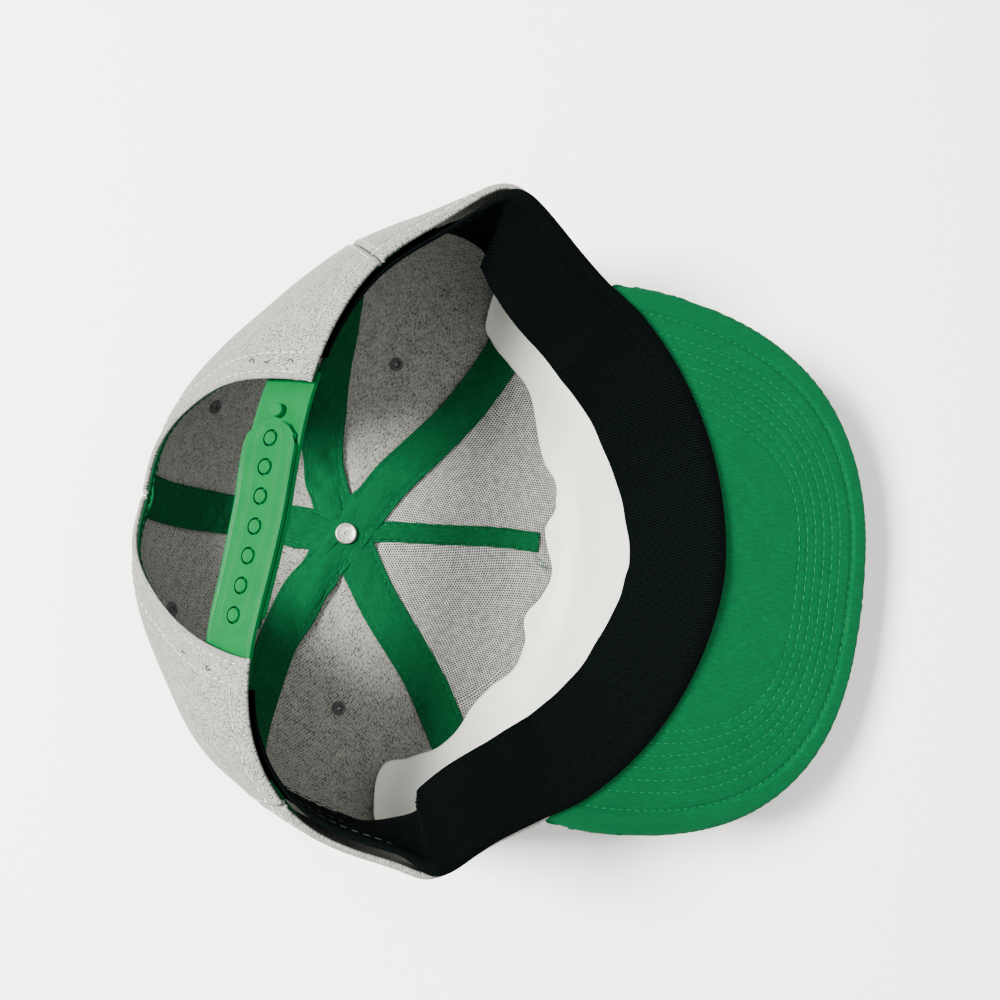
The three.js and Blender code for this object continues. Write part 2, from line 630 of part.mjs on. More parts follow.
const archRooms = [
  panel(SEAMS.rightBack, SEAMS.back, 12, 'right', CLOTH + GAP),
  panel(SEAMS.back, SEAMS.leftBack, 12, 'left', CLOTH + GAP),
];
let pegged = toSolid(strap(rightEdge - STRAP_TUCK, pegsEnd, PEGS_DEPTH, 'end', 11));
for (let i = -1; i < HOLE_COUNT; i += 1) {
  const at = firstHole + i * HOLE_PITCH;
  if (i >= 0) holeCutters.push(strapPeg(at, HOLE_RADIUS, HOLES_DEPTH - 1, PEGS_DEPTH - 0.2, 8));
  pegged = pegged.add(toSolid(strapPeg(at, PEG_RADIUS, HOLES_DEPTH - 0.5, PEGS_DEPTH + STRAP_THICK / 2, 7)));
}
const holed = strap(holesStart, leftEdge + STRAP_TUCK_LEFT, HOLES_DEPTH, 'start', 11);
add('strap_with_holes', cut(holed, [...holeCutters, ...archRooms]), LOOKS.plastic);
add('strap_with_pegs', cut(toGeometry(pegged), archRooms), LOOKS.plastic);

// Button outside and rivet inside
function turned(profile, sides) {
  const points = profile.map(([r, z]) => new THREE.Vector2(r, z));
  return new THREE.LatheGeometry(points, sides).rotateX(Math.PI / 2);
}
const buttonProfile = [[0, 0], [0.62, 0], [0.88, 0.1], [1, 0.3], [0.96, 0.47], [0.7, 0.54], [0, 0.6]]
  .map(([r, z]) => [r * BUTTON_RADIUS, z * BUTTON_RADIUS]);
add('button_cover', turned(buttonProfile, 20).translate(crownPoint(0, 0).x, 0, 0), LOOKS.twill);
const rivetBase = crownPoint(0, 0).z + LAYER_THREE + 0.15;
const rivetProfile = [[0, 0], [1, 0], [1, 0.2], [0.9, 0.3], [0.78, 0.24], [0.12, 0.28], [0, 0.2]]
  .map(([r, z]) => [r * RIVET_RADIUS, z * RIVET_RADIUS]);
add('button_rivet', turned(rivetProfile, 16).translate(crownPoint(0, 0).x, 0, rivetBase), LOOKS.metal);

// Sewn eyelets through the side and back panels
const ROOM = GAP + 0.35; // under an eyelet's rim, for the curve of the cloth
const EYELETS = [
  { name: 'eyelet_back_right', panel: 'back_panel_right', turn: 154.7, share: 0.492 },
  { name: 'eyelet_back_left', panel: 'back_panel_left', turn: -156, share: 0.512 },
  { name: 'eyelet_side_right', panel: 'side_panel_right', turn: 89.4, share: 0.366 },
  { name: 'eyelet_side_left', panel: 'side_panel_left', turn: -92.4, share: 0.354 },
];
for (const eyelet of EYELETS) {
  const [p, q] = disc(eyelet.turn, eyelet.share);
  const place = new THREE.Quaternion().setFromUnitVectors(new THREE.Vector3(0, 0, 1), discNormal(p, q));
  const centre = discPoint(p, q);
  const neck = EYELET_RADIUS * 0.62;
  const outer = -ROOM - EYELET_THICK;
  const inner = CLOTH + ROOM + EYELET_THICK;
  const ring = turned([
    [EYELET_HOLE, outer], [EYELET_RADIUS, outer], [EYELET_RADIUS, -ROOM], [neck, -ROOM],
    [neck, CLOTH + ROOM], [EYELET_RADIUS, CLOTH + ROOM], [EYELET_RADIUS, inner], [EYELET_HOLE, inner],
    [EYELET_HOLE, outer],
  ], 8);
  const hole = new THREE.CylinderGeometry(neck + GAP, neck + GAP, 8, 10).rotateX(Math.PI / 2);
  for (const piece of [ring, hole]) piece.applyQuaternion(place).translate(centre.x, centre.y, centre.z);
  const cloth = cap.getObjectByName(eyelet.panel);
  cloth.geometry = cut(cloth.geometry, [hole]);
  add(eyelet.name, ring, LOOKS.thread);
}

// The finished cap's box stands centred over the origin with its foot on the floor
const box = new THREE.Box3().setFromObject(cap);
const centre = box.getCenter(new THREE.Vector3());
for (const mesh of cap.children) mesh.geometry.translate(-centre.x, -centre.y, -box.min.z);

export default cap;
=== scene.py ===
import bpy
import math
import numpy as np
from mathutils import Matrix, Vector


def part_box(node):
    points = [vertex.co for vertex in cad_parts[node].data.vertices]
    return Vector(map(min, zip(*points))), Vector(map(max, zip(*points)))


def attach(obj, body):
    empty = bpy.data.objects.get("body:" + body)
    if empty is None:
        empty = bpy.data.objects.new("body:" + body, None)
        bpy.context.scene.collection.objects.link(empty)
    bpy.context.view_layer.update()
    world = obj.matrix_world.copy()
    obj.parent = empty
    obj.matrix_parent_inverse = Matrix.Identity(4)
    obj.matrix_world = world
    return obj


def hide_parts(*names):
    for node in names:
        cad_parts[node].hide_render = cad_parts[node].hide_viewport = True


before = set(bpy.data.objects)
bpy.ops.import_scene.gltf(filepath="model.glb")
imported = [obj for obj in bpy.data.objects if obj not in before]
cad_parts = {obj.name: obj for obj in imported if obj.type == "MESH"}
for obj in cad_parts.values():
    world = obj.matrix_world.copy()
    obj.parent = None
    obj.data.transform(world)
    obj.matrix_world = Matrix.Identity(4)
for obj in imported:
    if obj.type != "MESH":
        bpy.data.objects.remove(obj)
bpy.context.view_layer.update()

# Crown cloth
# Six panels of light grey heather twill, cut as long gores and sewn edge to edge. The cap lies upside down,
# so the outer face is below; the soft crown is pressed flat where it meets the table and folds at the sides.
CLOTH = 0.0012
MM = 0.001
LENGTH, HALF_WIDTH, HEIGHT = 156.0, 92.0, 114.0
SECTION = {
    "share": [0.00, 0.14, 0.30, 0.44, 0.56, 0.67, 0.78, 0.89, 1.00],
    "front": [-0.295, -0.105, 0.120, 0.250, 0.301, 0.353, 0.407, 0.455, 0.500],
    "back": [-0.295, -0.445, -0.572, -0.655, -0.714, -0.727, -0.683, -0.609, -0.478],
    "wide": [-0.295, -0.290, -0.255, -0.215, -0.180, -0.150, -0.125, -0.095, -0.064],
    "half": [0.000, 0.280, 0.570, 0.830, 1.015, 1.125, 1.139, 1.083, 1.000],
    "pinch": [1.00, 1.00, 1.00, 1.00, 1.00, 1.00, 1.02, 1.06, 1.10],
    "z_front": [0.046, 0.008, -0.022, 0.030, 0.190, 0.312, 0.381, 0.443, 0.500],
    "z_side": [0.046, 0.030, 0.024, 0.072, 0.193, 0.370, 0.560, 0.725, 0.876],
    "z_back": [0.046, 0.046, 0.105, 0.237, 0.377, 0.509, 0.640, 0.820, 1.000],
}
FOLDS = [  # where, turn, share, reach in turn, reach in share, out, up
    ("right side corner", 93, 1.02, 15, 0.16, 0.116, 0.066),
    ("right corner point", 93, 1.02, 7, 0.12, 0.022, 0),
    ("left side corner", -93, 1.02, 15, 0.16, 0.044, 0.088),
    ("left corner point", -90, 1.02, 7, 0.12, 0.047, 0),
    ("left back fullness", -122, 1.02, 26, 0.2, 0.2, 0),
    ("right back fullness", 124, 1.02, 24, 0.2, 0.057, 0),
    ("left rear edge", -146, 1.02, 16, 0.2, 0.042, 0),
    ("left rear fullness", -135, 0.8, 16, 0.16, 0.041, 0),
    ("right side flat", 112, 0.84, 22, 0.14, -0.021, 0),
    ("flat behind the strap", 180, 1, 26, 0.12, -0.065, 0),
    ("right back flat", 136, 0.66, 22, 0.24, -0.08, 0),
    ("left back flat", -142, 0.62, 18, 0.2, -0.035, 0),
    ("left back bulge", -163, 0.66, 16, 0.2, 0.032, 0),
    ("left side flat", -112, 0.84, 22, 0.14, -0.088, 0),
    ("dent in the right seam", 121, 0.46, 9, 0.1, -0.033, 0.054),
    ("dent in the left seam", -121, 0.6, 9, 0.12, -0.054, 0.033),
    ("gather by the button", -120, 0.13, 16, 0.05, 0, 0.017),
]
button_low, button_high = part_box("button_cover")
SHIFT_X = (button_low.x + button_high.x) / 2 / MM - SECTION["front"][0] * LENGTH
SHIFT_Y = (button_low.y + button_high.y) / 2 / MM


def between_rows(xs, ys, slope, i, k):
    """A smooth line from one row of a table to the next, at a share of the way."""
    step = xs[i + 1] - xs[i]
    k2, k3 = k * k, k * k * k
    return ((2 * k3 - 3 * k2 + 1) * ys[i] + (k3 - 2 * k2 + k) * step * slope[i]
            + (3 * k2 - 2 * k3) * ys[i + 1] + (k3 - k2) * step * slope[i + 1])


def row_value(name, share):
    xs, ys = np.array(SECTION["share"]), np.array(SECTION[name])
    slope = np.empty_like(ys)
    slope[1:-1] = (ys[2:] - ys[:-2]) / (xs[2:] - xs[:-2])
    slope[0] = (ys[1] - ys[0]) / (xs[1] - xs[0])
    slope[-1] = (ys[-1] - ys[-2]) / (xs[-1] - xs[-2])
    i = np.clip(np.searchsorted(xs, share, side="left") - 1, 0, len(xs) - 2)
    return between_rows(xs, ys, slope, i, (share - xs[i]) / (xs[i + 1] - xs[i]))


def crown(turn, share):
    """The crown's outer face in metres, from degrees round the crown and a share of the way to the rim."""
    turn, share = np.broadcast_arrays(np.asarray(turn, float), np.asarray(share, float))
    c, s = np.cos(np.radians(turn)), np.sin(np.radians(turn))
    wide = row_value("wide", share)
    end = np.where(c >= 0, row_value("front", share), row_value("back", share))
    z_end = np.where(c >= 0, row_value("z_front", share), row_value("z_back", share))
    z_side = row_value("z_side", share)
    x = wide * LENGTH + np.abs(end - wide) * LENGTH * c
    y = row_value("half", share) * HALF_WIDTH * np.sign(s) * np.abs(s) ** row_value("pinch", share)
    z = (z_side + (z_end - z_side) * np.abs(c)) * HEIGHT
    for _, fold_turn, fold_share, reach_turn, reach_share, out, up in FOLDS:
        a = ((turn - fold_turn + 540) % 360 - 180) / reach_turn
        b = (share - fold_share) / reach_share
        size = np.exp(-a * a - b * b) * HALF_WIDTH
        x, y, z = x + c * out * size, y + s * out * size, z + up * size
    z = z + wrinkle(turn, share)
    z = np.maximum(z, 0.0)
    return np.stack([x + SHIFT_X, y + SHIFT_Y, z], -1) * MM


def wrinkle(turn, share):
    """Soft slack in the unlined side and back panels, in millimetres; the stiffened front stays smooth."""
    t = np.radians(turn)
    slack = np.clip((np.abs((turn + 180) % 360 - 180) - 62) / 30, 0, 1) * np.clip(share / 0.2, 0, 1)
    slack = slack * np.clip((1.0 - share) / 0.12, 0, 1)
    return slack * (0.55 * np.sin(9 * t + 7 * share) + 0.45 * np.sin(17 * share + 4 * t + 1.3)
                    + 0.25 * np.sin(23 * t - 19 * share))


def disc_point(p, q):
    return crown(np.degrees(np.arctan2(q, p)), np.hypot(p, q))


def unit(vector):
    return vector / np.linalg.norm(vector, axis=-1, keepdims=True)


def disc_axes(p, q):
    """The cloth's two directions at a spot of the disc, and its inward normal."""
    d = 0.004
    along = (disc_point(p + d, q) - disc_point(p - d, q)) / (2 * d)
    across = (disc_point(p, q + d) - disc_point(p, q - d)) / (2 * d)
    return along, across, unit(np.cross(along, across))


def disc_layer(p, q, depth):
    """A point at a depth inside the outer face, from its spot on the crown laid out as a flat disc."""
    depth = np.asarray(depth, float)[..., None] if np.ndim(depth) else depth
    return disc_point(p, q) + disc_axes(p, q)[2] * depth


def layer(turn, share, depth):
    """The same point, from its turn and share."""
    return disc_layer(share * np.cos(np.radians(turn)), share * np.sin(np.radians(turn)), depth)


def walk(p, q, dir_p, dir_q, distance):
    """Steps over the cloth a distance to the left of a direction."""
    heading, steps = None, 6
    for _ in range(steps):
        along, across, normal = disc_axes(p, q)
        if heading is None:
            heading = np.cross(normal, unit(along * dir_p[..., None] + across * dir_q[..., None]))
        heading = unit(heading - normal * (heading * normal).sum(-1, keepdims=True))
        target = heading * (distance / steps)[..., None]
        aa, bb, ab = (along * along).sum(-1), (across * across).sum(-1), (along * across).sum(-1)
        ta, tb = (target * along).sum(-1), (target * across).sum(-1)
        p = p + (ta * bb - tb * ab) / (aa * bb - ab * ab)
        q = q + (tb * aa - ta * ab) / (aa * bb - ab * ab)
    return p, q


SEAMS = {
    "front": (13, 0, -2), "right_front": (62, 64, 0), "right_back": (124, 127, -13),
    "back": (180, 180, 0), "left_back": (-121, -125, 0), "left_front": (-61, -63, 0),
}


def seam_turn(seam, share):
    top, rim, bend = SEAMS[seam]
    share = np.clip(share, 0, 1)
    return top + (rim - top) * share + bend * np.sin(np.pi * share)


ARCH_DEPTH, ARCH_RIGHT, ARCH_LEFT, ARCH_SQUARE = 0.372, 24.8, 30.3, 1.28


def arch_spot(side, angle):
    """A spot on the edge of the arch; a quarter turn of angle goes from the hem to the top of the arch."""
    seam = "right_back" if side == "right" else "left_back"
    wide = np.abs(np.cos(angle)) ** (2 / ARCH_SQUARE)
    share = 1 - ARCH_DEPTH * np.abs(np.sin(angle)) ** (2 / ARCH_SQUARE)
    reach = (ARCH_RIGHT if side == "right" else ARCH_LEFT) / (180 - abs(SEAMS[seam][1]))
    turn = 180 + (np.abs(seam_turn(seam, share)) - 180) * wide * reach
    return (turn if side == "right" else 360 - turn), share, wide * reach


def lengths(points):
    """Lengths along each line of points, from its start."""
    steps = np.linalg.norm(np.diff(points, axis=-2), axis=-1)
    return np.concatenate([np.zeros_like(steps[..., :1]), np.cumsum(steps, axis=-1)], axis=-1)


def cloth_sheet(name, columns, rows, place, thick):
    """A grid laid on a rule of two shares, with its own lengths in metres as UV, given a wall."""
    bpy.ops.object.select_all(action="DESELECT")
    bpy.ops.mesh.primitive_grid_add(x_subdivisions=columns, y_subdivisions=rows, size=1)
    obj = bpy.context.object
    obj.name = obj.data.name = name
    n = len(obj.data.vertices)
    co = np.empty(n * 3)
    obj.data.vertices.foreach_get("co", co)
    co = co.reshape(-1, 3)
    uu = np.rint((co[:, 0] + 0.5) * columns) / columns
    vv = np.rint((co[:, 1] + 0.5) * rows) / rows
    order = np.lexsort((uu, vv))
    point = place(uu, vv)
    grid = point[order].reshape(rows + 1, columns + 1, 3)
    across = lengths(grid)
    across -= across[:, columns // 2][:, None]
    up = lengths(grid[:, columns // 2])
    flat = np.empty((n, 2))
    flat[order, 0] = across.ravel()
    flat[order, 1] = np.repeat(up, columns + 1)
    obj.data.vertices.foreach_set("co", point.ravel())
    loops = np.empty(len(obj.data.loops), np.int64)
    obj.data.loops.foreach_get("vertex_index", loops)
    obj.data.uv_layers[0].data.foreach_set("uv", flat[loops].ravel())
    obj.data.update()
    wall = obj.modifiers.new("wall", "SOLIDIFY")
    wall.thickness, wall.offset, wall.use_even_offset = thick, -1, False
    wall.material_offset, wall.material_offset_rim = 1, 0
    bpy.ops.object.modifier_apply(modifier="wall")
    smooth(obj.data)
    return obj


def smooth(mesh):
    for polygon in mesh.polygons:
        polygon.use_smooth = True


def finish_piece(obj, nodes, materials):
    """Adds the looks, hangs the piece under the root body, and hides the part nodes that it stands in for."""
    for material in materials:
        obj.data.materials.append(material)
    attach(obj, "root")
    if nodes:
        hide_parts(*nodes)
    return obj


def nodes_of(name):
    material = bpy.data.materials.new(name)
    material.use_nodes = True
    tree = material.node_tree
    return material, tree, tree.nodes["Principled BSDF"]


def feed(tree, node, **values):
    """Each named input takes a plain value, or a link from another node."""
    for name, value in values.items():
        name = name.removeprefix("in_").replace("_", " ")
        socket = node.inputs[int(name) if name.isdigit() else name]
        if isinstance(value, bpy.types.Node):
            value = value.outputs[0]
        if isinstance(value, bpy.types.NodeSocket):
            tree.links.new(value, socket)
        else:
            socket.default_value = value


def add_node(tree, kind, **values):
    """A new node; names that start with in_ are its inputs, and the others are its settings."""
    node = tree.nodes.new("ShaderNode" + kind)
    for name, value in values.items():
        if name.startswith("in_"):
            feed(tree, node, **{name: value})
        else:
            setattr(node, name, value)
    return node


def grain(tree, where, scale, detail, roughness=0.5):
    return add_node(tree, "TexNoise", in_Vector=where, in_Scale=scale, in_Detail=detail,
                    in_Roughness=roughness)


def ribbing(tree, where, direction, scale, distortion, detail_scale):
    """The ribs of a weave, wavering a little."""
    ribs = add_node(tree, "TexWave", wave_type="BANDS", bands_direction=direction, in_Vector=where,
                    in_Scale=scale, in_Distortion=distortion, in_Detail=2.0, in_Detail_Scale=detail_scale)
    return ribs.outputs["Fac"]


def add_share(tree, pattern, share, rest):
    """A share of one pattern added to another."""
    return add_node(tree, "Math", operation="MULTIPLY_ADD", in_0=pattern, in_1=share, in_2=rest)


def two_tone(tree, pattern, low, dark, high, light):
    """The dark colour where the pattern is low, the light one where it is high."""
    ramp = add_node(tree, "ValToRGB", in_0=pattern)
    first, last = ramp.color_ramp.elements
    first.position, first.color = low, (*dark, 1)
    last.position, last.color = high, (*light, 1)
    return ramp


def relief(tree, shader, pattern, strength, height):
    """Lets the light catch on a pattern, as if it stood up by a height in metres."""
    bump = add_node(tree, "Bump", in_Strength=strength, in_Distance=height, in_Height=pattern)
    feed(tree, shader, Normal=bump)


FLECKS = (  # turn in radians, stretch both ways, share of the whole
    (0.55, (1900, 900, 1), 0.34), (-0.95, (1500, 800, 1), 0.30), (0.2, (2600, 2600, 1), 0.24),
    (0.0, (210, 210, 1), 0.12),
)


def heather_cloth(name, dark, light, low, high):
    """Twill spun from pale and dark fibres: short flecks along both threads under fine slanting ribs."""
    material, tree, shader = nodes_of(name)
    weave = add_node(tree, "UVMap")
    flecks = 0.0
    for turn, stretch, share in FLECKS:
        place = add_node(tree, "Mapping", in_Vector=weave, in_Rotation=(0, 0, turn),
                         in_Scale=stretch)
        flecks = add_share(tree, grain(tree, place, 1.0, 2.0, 0.6), share, flecks)
    ribbed = add_share(tree, ribbing(tree, weave, "DIAGONAL", 520.0, 2.0, 2.0), 0.07, flecks)
    feed(tree, shader, Base_Color=two_tone(tree, ribbed, low, dark, high, light), Roughness=0.95,
         Specular_IOR_Level=0.12, Sheen_Weight=0.08)
    relief(tree, shader, ribbed, 0.3, 0.0004)
    return material


heather_out = heather_cloth("grey_heather_twill", (0.016, 0.017, 0.0155), (0.21, 0.212, 0.192), 0.43, 0.58)
# The inside face is the same heather with painted shade: its colours are about three times darker than the
# outer face's, for the dim inside of the crown.
heather_inside_painted_shade = heather_cloth("grey_heather_inside_painted_shade", (0.0034, 0.0040, 0.0035), (0.062, 0.065, 0.056), 0.43,
                           0.585)

PANEL_START = 0.026
SEAM_GAP = 0.00012


def eased(columns, width, border, count):
    """Shares across a width whose first and last few steps are short, so the sewn edges can turn in."""
    border = np.minimum(border / width, 0.22)
    i = np.arange(columns + 1)
    edge = border[:, None] * (np.minimum(i, count) / count)[None, :] ** 1.3
    middle = np.clip((i - count) / (columns - 2 * count), 0, 1)
    back = border[:, None] * (np.clip(columns - i, 0, count) / count)[None, :] ** 1.3
    return np.where(i[None, :] <= columns / 2, edge + (1 - 2 * border[:, None]) * middle,
                    1 - back - (1 - 2 * border[:, None]) * (1 - middle))


def between_seams(seam_from, seam_to, share):
    start, end = seam_turn(seam_from, share), seam_turn(seam_to, share)
    return start, np.where(end < start, end + 360, end)


def swell(x, at, reach):
    """A rounded rise, 1 at one place and fading away to both sides."""
    return np.exp(-((x - at) / reach) ** 2)


def panel(name, seam_from, seam_to, columns, rows, arched=None):
    """One gore, laid between its two seams from the button to the rim or to the edge of the arch."""
    rim = np.ones(columns + 1)
    lo = None
    if arched:
        plain = columns // 3
        arch_columns = columns - plain
        reach = arch_spot(arched, np.array(0.0))[2]
        _, shares, across = arch_spot(arched, np.linspace(0, np.pi / 2, arch_columns + 1))
        lo = np.concatenate([np.linspace(0, 1 - reach, plain + 1), 1 - across[1:]])
        rim = np.concatenate([np.ones(plain + 1), shares[1:]])
        if arched == "left":
            lo, rim = (1 - lo)[::-1], rim[::-1]

    def place(u, v):
        i = np.rint(u * columns).astype(int)
        j = np.rint(v * rows).astype(int)
        near_rim = np.array([0.0, 0.003, 0.006, 0.010, 0.015, 0.021, 0.028, 0.036])
        row = np.concatenate([np.linspace(0, 1 - 0.042, rows - 7), (1 - near_rim)[::-1]])
        share = PANEL_START + (rim[i] - PANEL_START) * row[j]
        start, end = between_seams(seam_from, seam_to, share)
        width = np.linalg.norm(crown(start, share) - crown(end, share), axis=-1)
        radius = np.linalg.norm(crown(start, share) - crown(0 * start, 0 * share), axis=-1)
        inset = np.degrees(SEAM_GAP / np.maximum(radius, 0.001)) * 1.2
        if lo is None:
            k = np.take_along_axis(eased(columns, np.maximum(width, 0.002), 0.0035, 6), i[:, None], 1)[:, 0]
        else:
            k = lo[i]
        sew = np.minimum(k, 1 - k) * width
        depth = 0.0007 * np.clip(1 - sew / 0.0014, 0, 1) ** 1.6  # the seam pulls both edges in
        depth = depth - 0.0002 * swell(sew, 0.0016, 0.001)
        down = (rim[i] - share) * RIM_RUN
        depth = depth + 0.0006 * np.clip(1 - down / 0.0012, 0, 1) ** 1.5  # rounded hem
        depth = depth + 0.0003 * swell(down, HEM_SEWN, 0.0008)  # hem stitches pull in
        depth = depth - 0.0004 * swell(down, 0.0022, 0.0014)
        return layer(start + inset + (end - start - 2 * inset) * k, share, depth)

    obj = cloth_sheet(name, columns, rows, place, CLOTH)
    # The inner faces get the copy of the heather painted in shade.
    return finish_piece(obj, [name], [heather_out, heather_inside_painted_shade])


RIM_RUN = 0.15  # the run of cloth near the rim that one whole share would be, in metres
HEM_SEWN = 0.0042
for name, seam_from, seam_to, columns, arched in (
        ("front_panel_right", "front", "right_front", 60, None),
        ("side_panel_right", "right_front", "right_back", 60, None),
        ("back_panel_right", "right_back", "back", 84, "right"),
        ("back_panel_left", "back", "left_back", 84, "left"),
        ("side_panel_left", "left_back", "left_front", 60, None),
        ("front_panel_left", "left_front", "front", 60, None)):
    panel(name, seam_from, seam_to, columns, 110, arched)


def spread(tree, pattern, low, high, least, most):
    """Turns the pattern's values from low to high into the ones from least to most."""
    return add_node(tree, "MapRange", in_0=pattern, in_1=low, in_2=high, in_3=least, in_4=most)


def uneven(tree, pattern, colour, least, most):
    """A colour turned a little darker and lighter by a pattern."""
    shade = spread(tree, pattern, 0.3, 0.7, least, most)
    tint = add_node(tree, "Mix", data_type="RGBA", blend_type="MULTIPLY", in_Factor=1.0,
                    in_A=(*colour, 1), in_B=shade)
    return tint.outputs["Result"]


def on_piece(tree):
    """The place on the piece itself, for what has no weave to follow."""
    return add_node(tree, "TexCoord").outputs["Object"]


def plain_thread(name, colour):
    """Sewing thread, matt and a little uneven in colour."""
    material, tree, shader = nodes_of(name)
    fuzz = grain(tree, on_piece(tree), 900.0, 2.0)
    feed(tree, shader, Base_Color=uneven(tree, fuzz, colour, 0.75, 1.15), Roughness=0.8,
         Specular_IOR_Level=0.15)
    return material


def sew(name, slot, lines, thread, long=0.0024, pitch=0.0031, radius=0.00022):
    """One stitch is modelled, then repeated at an even pitch along lines of points."""
    bpy.ops.object.select_all(action="DESELECT")
    bpy.ops.mesh.primitive_uv_sphere_add(segments=6, ring_count=5, radius=radius)
    stitch = bpy.context.object
    bpy.ops.object.mode_set(mode="EDIT")
    bpy.ops.mesh.select_all(action="SELECT")
    bpy.ops.transform.resize(value=(long / (2 * radius), 1, 1))
    bpy.ops.object.mode_set(mode="OBJECT")
    shape = np.array([v.co[:] for v in stitch.data.vertices])
    faces = [tuple(p.vertices) for p in stitch.data.polygons]
    bpy.data.objects.remove(stitch)
    verts, polygons = [], []
    for line in lines:
        reach = lengths(line)
        middles = np.arange(pitch / 2, reach[-1], pitch)
        at, ahead, behind = (np.stack([np.interp(middles + step, reach, line[:, k]) for k in range(3)], 1)
                             for step in (0, long / 2, -long / 2))
        way = unit(ahead - behind)
        side = unit(np.cross(way, [0.13, 0.21, 1.0]))
        up = np.cross(way, side)
        for middle, a, b, c in zip(at, way, side, up):
            first = len(verts) * len(shape)
            verts.append(middle + shape @ np.stack([a, b, c]))
            polygons.extend([tuple(first + i for i in face) for face in faces])
    mesh = bpy.data.meshes.new(name)
    mesh.from_pydata(np.concatenate(verts), [], polygons)
    mesh.update()
    obj = bpy.data.objects.new(name, mesh)
    bpy.context.collection.objects.link(obj)
    smooth(mesh)
    return finish_piece(obj, [], [thread])


def beside_seam(seam, side, last):
    """A line of points on the outer face at a distance to one side of a seam."""
    share = np.linspace(0.1, last, 90)
    turn = seam_turn(seam, share)
    c, s = np.cos(np.radians(turn)), np.sin(np.radians(turn))
    p, q = walk(share * c, share * s, c, s, np.full_like(share, side))
    return disc_layer(p, q, -0.00012)


grey_thread = plain_thread("grey_topstitch_thread", (0.42, 0.42, 0.41))
ARCH_TOP = 1 - ARCH_DEPTH - 0.01
SEWN_FROM_SEAM = 0.0021
seam_lines = [beside_seam(seam, side, {"front": 1.0, "back": ARCH_TOP}.get(seam, 0.985))
              for seam in SEAMS for side in (-SEWN_FROM_SEAM, SEWN_FROM_SEAM)]
sew("panel_topstitching", "crown_cloth", seam_lines, grey_thread)
hem_lines = [layer(np.linspace(low, high, 90), 1 - HEM_SEWN / RIM_RUN, -0.00005)
             for low, high in ((88, 151), (-146, -88))]
sew("hem_stitching", "crown_cloth", hem_lines, grey_thread, 0.0026, 0.0034)

# Mesh backings
# White warp-knit mesh with small holes in a honeycomb, which keeps the front of the crown upright. One piece
# is cut for each front panel and fused to the back of its cloth.
LINING = 0.0010
LAYER_TWO = CLOTH + 0.00045


def dotted_mesh(name, pitch, hole):
    """Pale knit with a honeycomb of small holes, coloured near black: the grey cloth behind them, darkened
    with painted shade.
    """
    material, tree, shader = nodes_of(name)
    weave = add_node(tree, "UVMap")
    row = pitch * 1.732
    from_hole = []
    for shift in (0.0, 0.5):  # a honeycomb is two plain grids, the second half a step on both ways
        value = add_node(tree, "Mapping", in_Vector=weave, in_Location=(shift, shift, 0),
                         in_Scale=(1 / pitch, 1 / row, 0))
        value = add_node(tree, "VectorMath", operation="FRACTION", in_0=value)
        value = add_node(tree, "VectorMath", operation="SUBTRACT", in_0=value, in_1=(0.5, 0.5, 0))
        value = add_node(tree, "VectorMath", operation="MULTIPLY", in_0=value, in_1=(pitch, row, 0))
        value = add_node(tree, "VectorMath", operation="LENGTH", in_0=value)
        from_hole.append(value.outputs["Value"])
    nearest = add_node(tree, "Math", operation="MINIMUM", in_0=from_hole[0], in_1=from_hole[1])
    knit = spread(tree, nearest, hole * 0.75, hole * 1.25, 0.0, 1.0)
    pale = two_tone(tree, grain(tree, weave, 420.0, 4.0, 0.7), 0.32, (0.20, 0.20, 0.19), 0.62,
                    (0.44, 0.445, 0.415))
    # The holes get a near-black colour: painted shade over the grey cloth behind.
    both = add_node(tree, "Mix", data_type="RGBA", in_Factor=knit, in_A=(0.008, 0.008, 0.008, 1),
                    in_B=pale)
    feed(tree, shader, Base_Color=both.outputs["Result"], Roughness=0.9, Sheen_Weight=0.2)
    relief(tree, shader, knit, 0.6, 0.0003)
    return material


mesh_white = dotted_mesh("white_dotted_mesh", 0.00095, 0.00036)


def front_backing(name, seam_from, seam_to):
    def place(u, v):
        share = 0.06 + 0.84 * v
        start, end = between_seams(seam_from, seam_to, share)
        return layer(start + (end - start) * u, share, LAYER_TWO - 0.0003)

    obj = cloth_sheet(name, 56, 80, place, 0.0008)
    return finish_piece(obj, [name], [mesh_white, mesh_white])


front_backing("front_backing_right", "front", "right_front")
front_backing("front_backing_left", "left_front", "front")

# Seam tapes
# Dark green woven tape folded to about 14 mm and sewn over each seam from inside; one runs on across the
# button and the others tuck under it, and the narrow front one is cut off short.
def woven_tape(name, dark, light, rib=0.00052):
    """Cross-ribbed weave: a ribbed ground with streaks of thread along it and a little fuzz."""
    material, tree, shader = nodes_of(name)
    weave = add_node(tree, "UVMap")
    along = add_node(tree, "Mapping", in_Vector=weave, in_Scale=(1400, 260, 1))
    ribs = ribbing(tree, weave, "DIAGONAL", 0.628 / rib, 1.5, 1.5)
    ground = add_share(tree, ribs, 0.5, grain(tree, along, 1.0, 3.0, 0.6))
    clouded = add_share(tree, grain(tree, weave, 90.0, 3.0), 0.25, ground)
    scaled = add_node(tree, "Math", operation="MULTIPLY", in_0=clouded, in_1=0.8)
    feed(tree, shader, Base_Color=two_tone(tree, scaled, 0.62, dark, 1.0, light), Roughness=0.9,
         Specular_IOR_Level=0.08)
    relief(tree, shader, ground, 0.4, 0.0003)
    return material


tape_green = woven_tape("dark_green_tape", (0.0, 0.032, 0.009), (0.0, 0.068, 0.021))
green_thread = plain_thread("green_thread", (0.001, 0.075, 0.022))


def seam_spots(seam, last, first=0.03):
    share = np.linspace(first, last, 60)
    turn = np.radians(seam_turn(seam, share))
    return share * np.cos(turn), share * np.sin(turn)


